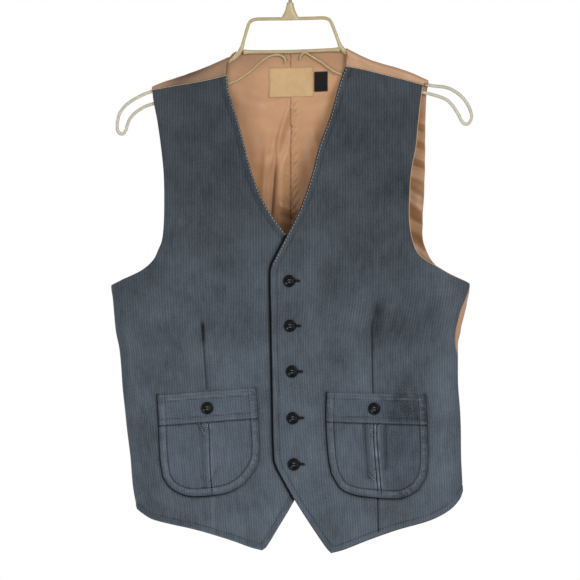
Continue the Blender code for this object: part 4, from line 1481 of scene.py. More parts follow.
@dataclass
class Pocket(Panel):
    """Patch pocket: raised border, thick band along its top, box pleat and tacks."""

    front: Optional[Front] = None
    side: Side = Side.LEFT
    border: float = 9.0
    band_extra: float = 0.8
    band_inset: float = 7.0
    top_inset: float = 30.0
    fullness: float = 1.3
    rows: PocketCut = field(init=False)
    u_edge: Array = field(init=False)
    band_line: Array = field(init=False)
    border_line: Array = field(init=False)
    open_lines: list[Array] = field(init=False)
    crease_lines: list[Array] = field(init=False)
    tack_lines: list[Array] = field(init=False)

    @classmethod
    def cut(cls, form: BodyForm, front: Front) -> "Pocket":
        """Cut the pocket of one front.

        Args:
            form: how the body lies.
            front: the front that it is sewn to.

        Returns:
            The pocket, not built yet.
        """
        side = front.side
        rows = POCKET_CUTS[side]
        step = 2.2
        lines = [form.front_line(part, step) for part in (rows.sides, rows.foot, rows.inner)]
        top = form.front_line((rows.inner[-1], rows.sides[0]), step)
        outline = join_outline(*lines, top)
        thick = 1.8
        panel = cls(
            form=form, name="vest_pocket_" + side.word, node="pocket_" + side.word, outline=outline,
            lift=1.35 + thick / 2, thick=thick, outer=POCKET_CORDUROY, inner=POCKET_CORDUROY, sunk=front.sunk,
            grid=2.4, rim_rows=(0.25, 0.7, 1.5), front=front, side=side
        )
        panel.rows = rows
        panel.u_edge = join_lines(*lines)
        panel.band_line = form.front_line(rows.band, step)
        panel.open_lines = [form.front_line(part, 2.0) for part in rows.open_edges]
        panel.crease_lines = [form.front_line(part, 2.4) for part in rows.soft_creases]
        panel.tack_lines = [form.front_places(part) for part in rows.tacks]
        panel.border_line = cls.toward(panel.u_edge, panel.border, outline.mean(axis=0))
        for line in (panel.border_line, panel.band_line):
            panel.features.extend(beside(line, 0.0, 1.0, -1.0))
        for line in panel.open_lines:
            panel.features.extend(beside(line, -1.5, -0.7, 0.0, 0.7, 1.5))
        return panel

    @staticmethod
    def toward(line: Array, reach: float, middle: Array) -> Array:
        """A line moved sideways towards a middle.

        Args:
            line: the line's points.
            reach: how far it moves.
            middle: the place that it moves towards.

        Returns:
            The moved line.
        """
        choices = beside(line, reach, -reach)
        spread = [float(np.hypot(*(choice - middle).T).mean()) for choice in choices]
        return choices[int(np.argmin(spread))]

    def below_band(self, places: Array) -> Array:
        """Distance below the band's lower edge.

        Args:
            places: flat places.

        Returns:
            Distances, less than 0 on the band.
        """
        first, last = self.band_line[0], self.band_line[-1]
        slope = (last[1] - first[1]) / (last[0] - first[0])
        return places[:, 1] - first[1] - slope * (places[:, 0] - first[0])

    def relief(self, places: Array) -> Array:
        """The front's own shape, with the pocket's fullness over it.

        Args:
            places: flat places.

        Returns:
            How far the wall stands out at each place.
        """
        total = self.front.relief(places)
        distance, run = nearest(places, self.u_edge)
        full = self.fullness * smooth_step((distance - 3) / 38)
        total = total + full * smooth_step((places[:, 1] - 562) / 30)
        total += 0.16 * ripples(places, 15, 21 + self.side.value, 1.5) * smooth_step(distance / 6)
        total += 0.13 * np.sin(run / 3.4 + 2 * np.sin(run / 23)) * hump(distance - 5, 6)
        return total + 0.25

    def extra(self, places: Array) -> Array:
        """Band, border, pleat and the grooves that their stitches pull in.

        Args:
            places: flat places.

        Returns:
            Height of the outer face at each place.
        """
        distance = away(places, self.u_edge)
        below = self.below_band(places)
        on_body = smooth_step(below / 1.4 + 0.5)
        total = (1 - on_body) * self.band_extra
        ridge = smooth_step((distance + 0.5) / 1.6) * smooth_step((self.border - distance) / 1.6)
        total += 0.75 * ridge * (0.4 + 0.6 * on_body)
        total -= 0.4 * hump(distance - self.border, 0.9)
        total -= 0.3 * hump(distance - 1.8, 0.7) * on_body
        total -= 0.25 * hump(below + self.band_inset, 0.9) + 0.25 * hump(below + self.top_inset, 0.9)
        total -= 0.45 * hump(below - 1.2, 1.0)
        for line in self.open_lines:
            gap, along = nearest(places, line)
            fade = smooth_step(along / 8) * smooth_step(below / 3) * smooth_step((distance - 3) / 5)
            total -= 0.95 * hump(gap, 0.85) * fade
            total += 0.3 * hump(gap - 3.2, 2.4) * fade
        for line in self.crease_lines:
            total -= 0.8 * hump(away(places, line), 4.0) * smooth_step(below / 3)
        for line in self.tack_lines:
            total -= 0.22 * hump(away(places, line), 0.9)
        return total

    def border_wave(self, places: Array) -> tuple[Array, Array]:
        """Painted light and shade of short puckers across the border, and how far each place lies along it.

        Args:
            places: flat places.

        Returns:
            Painted puckers, -1 to 1, light above 0 and dark below, and a share growing towards the border's
            last third.
        """
        distance, run = nearest(places, self.u_edge)
        late = smooth_step((run / line_length(self.u_edge) - 0.45) / 0.25)
        wave = np.sin(run / 1.3 + 2.2 * np.sin(run / 13)) * (0.6 + 0.5 * ripples(places, 22, 51))
        return wave * hump(distance - self.border / 2, 3.6) * (0.35 + 0.65 * late), late

    def tone(self, places: Array) -> Array:
        """The front's painted light and shade at half strength, and painted shade on the left pocket's far
        side and band.

        Args:
            places: flat places.

        Returns:
            How much lighter the cloth is at each place.
        """
        total = 0.5 * self.front.tone(places)
        if self.side is Side.LEFT:
            below = self.below_band(places)
            total -= 0.28 * smooth_step((places[:, 0] - 110) / 30) + 0.10 * smooth_step(-below / 4)
        return total

    def wear(self, places: Array) -> Array:
        """Rubbed pile and painted highlight on the edge; painted highlights on border, band edge, puckers and
        pleat.

        Args:
            places: flat places.

        Returns:
            Share of the pale colour, for rubbed pile and painted highlights, at each place.
        """
        distance = away(places, closed(self.outline))
        below = self.below_band(places)
        patchy = 0.6 + 0.4 * ripples(places, 14, 9)
        # Rubbed pile with painted highlight on the outer edge, and a painted highlight on the border's ridge.
        total = 0.35 * hump(distance - 0.6, 1.0) + 0.4 * hump(distance - self.border + 2.4, 1.1)
        # Painted highlights on the band's lower edge and on the border's puckers.
        total += 0.2 * hump(below + 0.7, 0.8) + 0.22 * np.clip(self.border_wave(places)[0], 0, 1)
        # Painted highlights beside the pleat's open edges.
        for line in self.open_lines:
            pale = 0.7 * hump(away(places, line) - 1.8, 0.8)
            total += pale * smooth_step(below / 4) * smooth_step((distance - 8) / 4)
        return np.clip(total * patchy, 0, 1)

    def shade(self, places: Array) -> Array:
        """Painted shade: stitch grooves, under the band, the edge, border puckers, soft creases, the pleat
        and the tacks.

        Args:
            places: flat places.

        Returns:
            Share of the dark colour at each place.
        """
        distance = away(places, self.u_edge)
        below = self.below_band(places)
        total = 0.6 * hump(distance - self.border - 0.9, 0.9) * (0.4 + 0.6 * smooth_step(below / 2))
        total += 0.75 * hump(below - 1.0, 1.0)
        total += 0.3 * hump(below + self.band_inset, 0.7) + 0.3 * hump(below + self.top_inset, 0.7)
        total += 0.25 * hump(distance - 1.8, 0.6)
        wave, late = self.border_wave(places)
        total += 0.9 * hump(distance, 0.8) * (1 - self.rows.far_fade * late) + 0.3 * np.clip(-wave, 0, 1)
        for line in self.crease_lines:
            total += self.rows.crease_shade * hump(away(places, line), 3.2) * smooth_step(below / 3)
        for line in self.open_lines:
            dark = 0.85 * hump(away(places, line), 0.8)
            total += dark * smooth_step(below / 2) * smooth_step((distance - 2) / 5)
        for line in self.tack_lines:
            total += 0.4 * hump(away(places, line) - 1.1, 0.8)
        return np.clip(total, 0, 1)


@dataclass(frozen=True)
class BackCut:
    """Edges of one half of the back as x and drop rows, and how its flap and puckers show."""

    armhole: Rows
    neck: Rows
    tip_x: float
    corner_x: float
    corner_count: int
    flap_shade: float
    pucker_height: float


BACK_CUTS: dict[Side, BackCut] = {
    Side.LEFT: BackCut(
        armhole=(
            (233.6, 419.5), (229, 417.5), (209, 408.5), (192, 397.5), (183, 387), (178, 376.5), (174, 363.5),
            (173.4, 336), (175.2, 304), (176.3, 262), (176.7, 210), (178, 172)
        ),
        neck=((68, 114), (60, 114), (30, 115.2), (0, 115.6)), tip_x=180.5, corner_x=73.0, corner_count=10,
        flap_shade=0.1, pucker_height=1.6
    ),
    Side.RIGHT: BackCut(
        armhole=(
            (-231.6, 421.5), (-219.5, 416), (-190, 403), (-175, 390), (-168, 377), (-163, 364), (-160, 338),
            (-160, 286), (-165, 247), (-171, 208), (-177, 182)
        ),
        neck=((-77.5, 122.8), (-73, 118.5), (-60, 116), (-30, 115.8), (0, 115.6)), tip_x=-180.3,
        corner_x=-80.0, corner_count=7, flap_shade=0.75, pucker_height=0.6
    )
}


@dataclass
class Back(Panel):
    """Half of the satin back with its lining, from the hem over the shoulder to the front's seam."""

    side: Side = Side.LEFT
    # Drop of the hem at the centre seam.
    hem_middle: float = 688.5
    rows: BackCut = field(init=False)
    seam_edge: Array = field(init=False)
    flap_edge: Array = field(init=False)
    spine: Array = field(init=False)
    creases: Rows = (
        (-19.5, 246, -25, 334, 2.8, 4.2), (-11, 240, -13, 336, 6.5, -4.0), (-30, 238, -37, 322, 5.0, -2.8),
        (-2, 190, -24, 262, 3.8, -3.6), (4, 202, -14, 262, 3.8, 2.6), (-24, 178, -44, 214, 7.0, 0.7),
        (-2, 178, -22, 184, 3.5, 2.0), (14, 215, 26, 300, 7.0, 1.6), (26, 200, 38, 250, 5.0, -1.6),
        (-36, 190, -50, 240, 8.0, -0.6), (-60, 178, -30, 184, 6.0, 1.4), (-58, 190, -24, 196, 8.0, -0.6),
        (-64, 156, -40, 168, 6.0, 1.6), (30, 186, 60, 175, 6.0, 1.2), (-14, 318, 6, 326, 3.5, -2.6),
        (-12, 330, 6, 338, 3.5, 2.8), (156, 206, 182, 214, 3.5, -3.2), (156, 217, 182, 226, 3.0, 3.4),
        (156, 229, 182, 238, 3.5, -3.0), (156, 240, 180, 249, 3.0, 2.6), (154, 252, 180, 262, 4.0, -3.4),
        (152, 263, 180, 274, 3.5, 3.2), (150, 277, 178, 288, 4.5, -2.6), (150, 293, 176, 308, 5.0, 2.4),
        (150, 310, 176, 328, 5.0, -2.6), (150, 330, 180, 348, 5.0, 2.2), (152, 346, 184, 366, 5.0, -2.0),
        (160, 365, 200, 392, 6.0, 1.8), (170, 350, 205, 378, 5.0, -1.8), (-150, 240, -182, 250, 5.0, -2.0),
        (-150, 300, -176, 315, 5.0, -2.0), (-150, 350, -186, 376, 6.0, 2.0), (-18, 430, -50, 560, 12.0, 4.6),
        (30, 400, 66, 540, 11.0, -4.6), (104, 220, 48, 330, 13.0, 3.2), (-104, 226, -52, 330, 13.0, 3.0),
        (126, 190, 92, 300, 11.0, -3.0), (-126, 194, -96, 310, 11.0, -2.6), (150, 380, 60, 440, 11.0, -4.4),
        (-150, 384, -66, 440, 11.0, -4.2), (170, 430, 104, 500, 12.0, 4.2), (-168, 436, -110, 516, 12.0, 4.2),
        (10, 350, 34, 430, 10.0, 2.4), (-120, 570, -30, 610, 11.0, 4.0), (130, 560, 40, 606, 11.0, 4.0),
        (-150, 620, -60, 654, 11.0, -2.4), (156, 612, 60, 650, 11.0, -2.4), (-92, 600, -84, 690, 12.0, 2.6),
        (96, 600, 84, 690, 12.0, 2.6), (-20, 620, -24, 690, 10.0, -2.2), (30, 610, 26, 690, 10.0, -2.2),
        (84, 170, 70, 410, 8.0, 2.6), (-80, 170, -74, 400, 8.0, 2.4), (120, 430, 112, 620, 9.0, -3.0),
        (-96, 430, -120, 600, 9.0, -3.2), (66, 470, 84, 640, 8.0, 3.0), (-60, 480, -70, 640, 8.0, 2.6),
        (-140, 480, -150, 660, 9.0, 3.0), (150, 500, 152, 670, 9.0, 3.0)
    )

    @classmethod
    def cut(cls, form: BodyForm, seams: SideSeams, side: Side) -> "Back":
        """Cut one half of the back.

        Args:
            form: how the body lies.
            seams: the side seams.
            side: which half.

        Returns:
            The half, not built yet.
        """
        rows = BACK_CUTS[side]
        sign = side.value
        step = 3.0
        middle = cls.hem_middle
        seam = seams.line(side)[::-1].copy()
        seam[:, 0] += sign * seams.gap / 2
        armhole = form.back_places(smooth_line(rows.armhole, step))
        shoulder = smooth_line(FRONT_CUTS[side].shoulder, step)
        if side is Side.RIGHT:
            shoulder = shoulder[::-1]
        shoulder[:, 1] -= seams.gap
        flap = form.flap_places(shoulder)
        corner = cls.crest_places(form, rows.corner_x)[::-1][: rows.corner_count]
        neck = form.back_places(smooth_line(rows.neck, step))
        centre = sign * (form.half - seams.gap / 2)
        neck[-1, 0] = centre
        count = round((middle - neck[-1, 1]) / step)
        spine = np.stack((np.full(count + 1, centre), np.linspace(neck[-1, 1], middle, count + 1)), axis=1)
        foot = seams.left_drops[1] if side is Side.LEFT else seams.right_drops[1]
        t = np.linspace(0, 1, round(abs(centre - seam[0, 0]) / step) + 1)
        hem = np.stack((centre + (seam[0, 0] - centre) * t, middle + (foot - middle) * t * t), axis=1)
        tip = cls.crest_places(form, rows.tip_x)
        panel = cls(
            form=form, name="vest_back_" + side.word, node="back_" + side.word,
            outline=join_outline(seam, armhole, tip, flap, corner, neck, spine, hem), lift=0.0, thick=1.6,
            outer=SATIN, inner=LINING, side=side, grid=3.8, rim_rows=(0.25, 0.8, 1.7)
        )
        # The lining shows at the neck and beside the armhole, so its places are finer there.
        for near, far, top, foot in ((0.0, 66.0, 135.0, 352.0), (148.0, 186.0, 185.0, 400.0)):
            ends = sorted((sign * (form.half - near), sign * (form.half - far)))
            panel.fine_boxes.append((np.array((ends[0], top)), np.array((ends[1], foot)), 1.9))
        panel.rows = rows
        panel.seam_edge = seam
        panel.flap_edge = flap
        panel.spine = spine
        panel.features.extend(spine - np.array((sign * reach, 0.0)) for reach in (2.0, 4.0))
        panel.features.extend(cls.crest_rows(form, rows, side))
        return panel

    @staticmethod
    def crest_places(form: BodyForm, x: float, count: int = 9) -> Array:
        """Flat places from the back over the crest to the front at one x.

        Args:
            form: how the body lies.
            x: where across.
            count: how many places.

        Returns:
            The places, in order.
        """
        flat = form.back_places(((x, 0.0),))[0]
        bend = float(curve_values(form.crest_line, np.array([x]))[0]) + form.crest_radius
        drops = bend - math.pi * form.crest_radius * np.arange(count + 1) / count
        return np.stack((np.full(count + 1, flat[0]), drops), axis=1)

    @classmethod
    def crest_rows(cls, form: BodyForm, rows: BackCut, side: Side) -> list[Array]:
        """Rows of places round the bend over the crest.

        Args:
            form: how the body lies.
            rows: the half's edges.
            side: not used.

        Returns:
            One line for each row.
        """
        low, high = sorted((rows.corner_x, rows.tip_x))
        low += 1.5
        high -= 1.5
        bends = [cls.crest_places(form, x) for x in np.linspace(low, high, round((high - low) / 3.6) + 1)]
        return [np.array([bend[row] for bend in bends]) for row in range(1, len(bends[0]) - 1)]

    def relief(self, places: Array) -> Array:
        """Listed creases, a puckered centre seam, and fine crumpling of the thin cloth.

        Args:
            places: flat places.

        Returns:
            How far the wall stands out at each place.
        """
        spots = self.form.middle(places)
        x, drop = spots[:, 0], -spots[:, 2]
        behind = spots[:, 1] > 0
        fade = smooth_step((places[:, 1] - 150) / 40) * behind
        total = fold_height(self.creases, x, drop) * fade
        total += 0.5 * ripples(places, 60, 31, 1.8) * fade
        total += 0.3 * ripples(places, 21, 37, 1.3) * smooth_step((places[:, 1] - 125) / 30)
        centre = np.abs(np.abs(places[:, 0]) - self.form.half)
        total += self.pucker(places) * fade
        total += 0.8 * hump(centre, 1.8) * fade
        flap = (spots[:, 1] < 0) & (drop < 170)
        total += 0.12 * ripples(places, 26, 41) * flap
        return total

    def pucker(self, places: Array) -> Array:
        """Short slanting puckers that the centre seam pulls in, uneven, stronger on the left half.

        Args:
            places: flat places.

        Returns:
            Height of the puckers at each place.
        """
        centre = self.form.half - np.abs(places[:, 0])
        drop = places[:, 1]
        slant = (drop + 1.1 * centre) / 1.5 + 2.4 * np.sin(drop / 11) + 1.6 * np.sin(drop / 27)
        height = self.rows.pucker_height * (0.75 + 0.4 * ripples(places, 24, 43))
        return height * np.sin(slant) * hump(centre - 3.2, 4.2)

    def shade(self, places: Array) -> Array:
        """Dark seams with painted shade, and painted shade on the cloth that has come over the crest.

        Args:
            places: flat places.

        Returns:
            Share of the dark colour at each place.
        """
        total = np.zeros(len(places))
        for line, strength, width in (
            (self.spine, 0.5, 0.9), (self.flap_edge, 0.25, 1.0), (self.seam_edge, 0.5, 1.0)
        ):
            total += strength * hump(away(places, line), width)
        # Painted shade on the cloth over the crest, strongest on the right shoulder.
        total += self.rows.flap_shade * self.on_flap(places) * (0.9 + 0.22 * ripples(places, 60, 47, 0.5))
        return np.clip(total, 0, 1)

    def on_flap(self, places: Array) -> Array:
        """Share that lies on the cloth that has come over the crest."""
        over = smooth_step((3 - self.form.middle(places)[:, 1]) / 6)
        return over * (places[:, 1] < 165)

    def under_shade(self, places: Array) -> Array:
        """Dark seam and painted shade on the lining: puckers, a crease, neck, foot of the opening, left
        armhole strip.

        Args:
            places: flat places.

        Returns:
            Share of the dark colour at each place.
        """
        across = self.form.half - np.abs(places[:, 0])
        total = 0.35 * hump(away(places, self.spine), 0.9) * (0.75 + 0.5 * np.sin(places[:, 1] / 1.6))
        total += 0.16 * np.clip(self.pucker(places), 0, 1) * (places[:, 1] > 178)
        spots = self.form.middle(places)
        # Painted shade in the crease, beside the right neck edge, at the foot of the opening and under the
        # neck bar.
        total += fold_height(((-18.5, 275, -24.5, 334, 2.6, 0.5),), spots[:, 0], places[:, 1])
        if self.side is Side.RIGHT:
            total += 0.2 * smooth_step((across - 18) / 40) * smooth_step((232 - places[:, 1]) / 50)
        total += 0.3 * smooth_step((places[:, 1] - 290) / 55) * smooth_step((60 - across) / 20)
        total += 0.28 * smooth_step((150 - places[:, 1]) / 26) * smooth_step((90 - across) / 20)
        if self.side is Side.LEFT:
            total += 0.3 * smooth_step((across - 146) / 8) * smooth_step((430 - places[:, 1]) / 20)
        return np.clip(total, 0, 1)


@dataclass
class Label(Panel):
    """Plain woven label sewn flat to the lining below the neck."""

    margin: float = 3.0

    @classmethod
    def cut(
        cls, form: BodyForm, name: str, node: str, box: tuple[float, float, float, float], finish: Finish,
        slant: float
    ) -> "Label":
        """Cut one label.

        Args:
            form: how the body lies.
            name: the piece's name.
            node: the node that it stands for.
            box: low x, high x, top drop and bottom drop.
            finish: its cloth.
            slant: how far the far end hangs lower than the near one.

        Returns:
            The label, not built yet.
        """
        low_x, high_x, top, bottom = box
        start, stop = form.half - high_x, form.half - low_x
        near, far = (top - slant, bottom - slant), (bottom + slant, top + slant)
        corners = [(start, drop) for drop in near] + [(stop, drop) for drop in far]
        outline = even_line(closed(np.array(corners)), 1.6)[:-1]
        return cls(
            form=form, name=name, node=node, outline=outline, lift=-1.7, thick=0.7, outer=finish,
            inner=finish, grid=1.7, rim_rows=(0.2, 0.5)
        )

    def relief(self, places: Array) -> Array:
        """Slight cockling of the ribbon."""
        return -0.25 + 0.22 * ripples(places, 14, 51) - 0.12 * ripples(places, 30, 53)

    def wear(self, places: Array) -> Array:
        """Woven border line a little inside the edge."""
        return 0.55 * hump(away(places, closed(self.outline)) - self.margin, 0.5)

    def shade(self, places: Array) -> Array:
        """No dark seams."""
        return np.zeros(len(places))


@dataclass
class StitchTree:
    """Geometry Nodes that lay one thread bead at each step along lines of places."""

    title: str = "stitch rows"

    def tree(self) -> bpy.types.NodeTree:
        """The node tree, made when it is first asked for.

        Returns:
            The tree, with its named inputs.
        """
        known = bpy.data.node_groups.get(self.title)
        if known is not None:
            return known
        tree = bpy.data.node_groups.new(self.title, "GeometryNodeTree")
        sockets = {name: "Float" for name in ("Pitch", "Length", "Width", "Slant", "Unevenness")}
        for name, kind in {"Lines": "Geometry", **sockets, "Seed": "Int", "Thread": "Material"}.items():
            tree.interface.new_socket(name, in_out="INPUT", socket_type="NodeSocket" + kind)
        tree.interface.new_socket("Stitches", in_out="OUTPUT", socket_type="NodeSocketGeometry")
        given = add_node(tree, "NodeGroupInput").outputs
        curve = add_node(tree, "GeometryNodeMeshToCurve", {"Mesh": given["Lines"]})
        spaced = {"Curve": curve, "Length": given["Pitch"]}
        even = add_node(tree, "GeometryNodeResampleCurve", spaced, {"mode": "LENGTH"})
        bead = add_node(tree, "GeometryNodeMeshUVSphere", {"Segments": 6, "Rings": 5, "Radius": 0.5})
        scale = add_node(tree, "CombineXYZ", {"X": given["Length"], "Y": given["Width"], "Z": given["Width"]})
        slant = add_node(tree, "CombineXYZ", {"Z": given["Slant"]})
        turned = {"Geometry": bead, "Scale": scale, "Rotation": slant}
        shaped = add_node(tree, "GeometryNodeTransform", turned)
        out = add_node(
            tree, "GeometryNodeInputNamedAttribute", {"Name": "out"}, {"data_type": "FLOAT_VECTOR"}
        )
        tangent = add_node(tree, "GeometryNodeInputTangent")
        axes = {"primary_axis": "Z", "secondary_axis": "X"}
        facing = {"Primary Axis": out.outputs["Attribute"], "Secondary Axis": tangent}
        rotation = add_node(tree, "FunctionNodeAxesToRotation", facing, axes)
        least = add_node(tree, "Math", {0: 1.0, 1: given["Unevenness"]}, {"operation": "SUBTRACT"})
        spread = {2: least, 3: 1.0, "Seed": given["Seed"]}
        size = add_node(tree, "FunctionNodeRandomValue", spread, {"data_type": "FLOAT"}).outputs[1]
        laid = {"Points": even, "Instance": shaped, "Rotation": rotation, "Scale": size}
        beads = add_node(tree, "GeometryNodeInstanceOnPoints", laid)
        real = add_node(tree, "GeometryNodeRealizeInstances", {"Geometry": beads})
        smooth = add_node(tree, "GeometryNodeSetShadeSmooth", {"Geometry": real})
        painted = {"Geometry": smooth, "Material": given["Thread"]}
        add_node(tree, "NodeGroupOutput", {0: add_node(tree, "GeometryNodeSetMaterial", painted)})
        return tree


@dataclass
class StitchRows:
    """Rows of stitches that lie on cloth, made as one piece."""

    name: str
    thread: Thread
    pitch: float
    length: float
    width: float
    slant: float = 0.0
    unevenness: float = 0.15
    seed: int = 5
    lines: list[tuple[Array, Array]] = field(default_factory=list)

    def add(self, panel: Panel, line: Array, gap: float = 0.05) -> None:
        """Lay one row on a panel's outer face.

        Args:
            panel: the cloth.
            line: flat places along the row.
            gap: how far the thread's middle lies above the cloth.
        """
        self.lines.append(panel.on_top(even_line(line, 1.5), gap))

    def build(self) -> bpy.types.Object:
        """Make the stitches.

        Returns:
            The object with all rows.
        """
        mesh = bpy.data.meshes.new(self.name)
        points = np.concatenate([p for p, _ in self.lines]) * MM
        outs = np.concatenate([o for _, o in self.lines])
        edges: list[tuple[int, int]] = []
        base = 0
        for line, _ in self.lines:
            edges.extend((base + i, base + i + 1) for i in range(len(line) - 1))
            base += len(line)
        mesh.from_pydata([tuple(map(float, p)) for p in points], edges, [])
        mesh.attributes.new("out", "FLOAT_VECTOR", "POINT").data.foreach_set(
            "vector", outs.astype(np.float32).ravel()
        )
        item = bpy.data.objects.new(self.name, mesh)
        bpy.context.scene.collection.objects.link(item)
        tree = StitchTree().tree()
        change = item.modifiers.new("stitches", "NODES")
        change.node_group = tree
        values = {"Pitch": self.pitch * MM, "Length": self.length * MM, "Width": self.width * MM}
        values.update({"Slant": self.slant, "Unevenness": self.unevenness, "Seed": self.seed})
        values["Thread"] = self.thread.material()
        for socket in tree.interface.items_tree:
            if socket.item_type == "SOCKET" and socket.in_out == "INPUT" and socket.name in values:
                change[socket.identifier] = values[socket.name]
        bpy.context.view_layer.update()
        result = bpy.data.meshes.new_from_object(item.evaluated_get(bpy.context.evaluated_depsgraph_get()))
        item.modifiers.remove(change)
        item.data = result
        result.name = self.name
        return item


@dataclass
class Button:
    """Cast four-hole button with a raised rim, its thread and its shank."""

    number: str
    spot: Array
    out: Array
    radius: float = 8.0
    thick: float = 2.6
    hole_radius: float = 0.85
    hole_ring: float = 2.2
    hole_sides: int = 12
    hole_sink: float = 0.16
    sides: int = 56
    # Shares of the radius at which the face has rings of points.
    ring_shares: tuple[float, ...] = (0.985, 0.96, 0.92, 0.87, 0.82, 0.77, 0.72, 0.67, 0.62, 0.57, 0.5)
    top_profile: Rows = (
        (0.0, 0.62), (0.30, 0.62), (0.52, 0.66), (0.62, 0.78), (0.72, 0.96), (0.82, 1.0), (0.91, 0.95),
        (0.97, 0.80), (1.0, 0.5)
    )
    base_profile: Rows = ((0.0, 0.0), (0.55, 0.0), (0.82, 0.10), (0.95, 0.28), (1.0, 0.5))

    def loop(self, radius: float, sides: int, x: float = 0.0, y: float = 0.0) -> Array:
        """Circle of flat points."""
        angle = 2 * math.pi * np.arange(sides) / sides
        return np.stack((x + radius * np.cos(angle), y + radius * np.sin(angle)), axis=1)

    def place(self, points: Array) -> Array:
        """Points of the button's own frame moved onto the cloth, in metres."""
        turn = Vector(self.out).to_track_quat("Z", "Y").to_matrix()
        return (points @ np.array(turn).T + self.spot) * MM

    def build(self) -> bpy.types.Object:
        """Make the button.

        Returns:
            The object.
        """
        rings = [self.loop(self.radius, self.sides)]
        edges = [(i, (i + 1) % self.sides) for i in range(self.sides)]
        base = self.sides
        holes = []
        for k in range(4):
            angle = math.pi / 4 + k * math.pi / 2
            centre = self.hole_ring * np.array((math.cos(angle), math.sin(angle)))
            holes.append(centre)
            rings.append(self.loop(self.hole_radius, self.hole_sides, *centre))
            edges.extend((base + i, base + (i + 1) % self.hole_sides) for i in range(self.hole_sides))
            base += self.hole_sides
        rings.extend(self.loop(self.radius * share, self.sides) for share in self.ring_shares)
        rings.append(self.loop(self.radius * 0.43, self.sides // 2))
        rings.extend(self.loop(self.hole_radius * 1.35, self.hole_sides, *centre) for centre in holes)
        rings.append(np.zeros((1, 2)))
        flat = np.concatenate(rings)
        found = delaunay_2d_cdt([Vector(p) for p in flat], edges, [], 0, 1e-4)
        flat = np.array([tuple(p) for p in found[0]])
        faces = np.array([tuple(f) for f in found[2]])
        middles = flat[faces].mean(axis=1)
        keep = np.ones(len(faces), dtype=bool)
        for centre in holes:
            keep &= np.hypot(*(middles - centre).T) > self.hole_radius * 0.985
        faces = faces[keep]
        share = np.hypot(*flat.T) / self.radius
        top = curve_values(self.top_profile, share) * self.thick
        low = curve_values(self.base_profile, share) * self.thick
        for centre in holes:
            near = np.hypot(*(flat - centre).T) < self.hole_radius * 1.05
            top = np.where(near, top - self.hole_sink, top)
        count = len(flat)
        points = np.concatenate((np.column_stack((flat, top)), np.column_stack((flat, low))))
        shell = [tuple(f) for f in faces] + [tuple(f[::-1] + count) for f in faces]
        seen = {(a, b) for f in faces for a, b in ((f[0], f[1]), (f[1], f[2]), (f[2], f[0]))}
        shell += [(b, a, a + count, b + count) for a, b in seen if (b, a) not in seen]
        item = new_object("vest_button_" + self.number, self.place(points), shell, (RESIN,))
        with edited(item.data) as work:
            bmesh.ops.remove_doubles(work, verts=work.verts, dist=0.001 * MM)
            bmesh.ops.recalc_face_normals(work, faces=work.faces)
        item.data.set_sharp_from_angle(angle=math.radians(50))
        return item

    def sewing(self) -> bpy.types.Object:
        """Two bars of thread through the holes, and the shank below.

        Returns:
            The object.
        """
        points: list[Array] = []
        faces: list[tuple[int, ...]] = []
        reach = self.hole_ring * math.sqrt(0.5)
        for y in (-reach, reach):
            for shift in (-0.28, 0.28):
                path = [(-reach, y + shift, 0.9), (-reach * 0.8, y + shift, 1.95), (0, y + shift, 2.1)]
                path += [(reach * 0.8, y + shift, 1.95), (reach, y + shift, 0.9)]
                add_tube(points, faces, np.array(path), 0.33, 6)
        add_tube(points, faces, np.array(((0, 0, -0.75), (0, 0, -0.2), (0, 0, 0.15))), 1.7, 10)
        return new_object(
            "vest_button_thread_" + self.number, self.place(np.array(points)), faces, (BUTTON_THREAD,)
        )


def add_tube(points: list[Array], faces: list[tuple[int, ...]], path: Array, radius: Any, sides: int) -> None:
    """Add a closed round tube to lists of points and faces.

    Args:
        points: gets the new points.
        faces: gets the new faces, facing outwards.
        path: the tube's centre line.
        radius: one radius, or one for each point of the path.
        sides: faces round the tube.
    """
    path = np.asarray(path, dtype=float)
    radii = np.broadcast_to(np.asarray(radius, dtype=float), (len(path),))
    along = np.gradient(path, axis=0)
    along /= np.linalg.norm(along, axis=1)[:, None]
    side = np.cross(along[0], (0.0, 0.0, 1.0))
    if np.linalg.norm(side) < 0.2:
        side = np.cross(along[0], (0.0, 1.0, 0.0))
    base = len(points)
    angles = 2 * math.pi * (np.arange(sides) + 0.5) / sides
    for spot, ahead, size in zip(path, along, radii):
        side = side - ahead * float(side @ ahead)
        side /= np.linalg.norm(side)
        up = np.cross(side, ahead)
        for angle in angles:
            points.append(spot + (side * math.cos(angle) + up * math.sin(angle)) * size)
    rows = len(path)
    for row in range(rows - 1):
        for k in range(sides):
            a = base + row * sides + k
            b = base + row * sides + (k + 1) % sides
            faces.append((a, a + sides, b + sides, b))
    faces.append(tuple(base + k for k in range(sides)))
    faces.append(tuple(base + (rows - 1) * sides + k for k in reversed(range(sides))))


@dataclass
class Buttonhole:
    """Worked buttonhole: a dark slit between two rows of purl stitches."""

    panel: Panel
    x: float
    drop: float
    reach: tuple[float, float] = (-7.0, 14.2)
    half_width: float = 1.25

    def lines(self) -> tuple[Array, Array]:
        """Flat places of the purl's loop and of the slit.

        Returns:
            The loop, and the slit.
        """
        form = self.panel.form
        low, high = self.x + self.reach[0], self.x + self.reach[1]
        width = self.half_width
        loop = [(low, self.drop - width * 0.8), (high - 1, self.drop - width), (high, self.drop)]
        loop += [(high - 1, self.drop + width), (low, self.drop + width * 0.8), (low - 0.8, self.drop)]
        loop.append(loop[0])
        slit = ((low, self.drop), (high - 0.8, self.drop))
        return form.front_places(even_line(np.array(loop, dtype=float), 0.5)), form.front_places(slit)


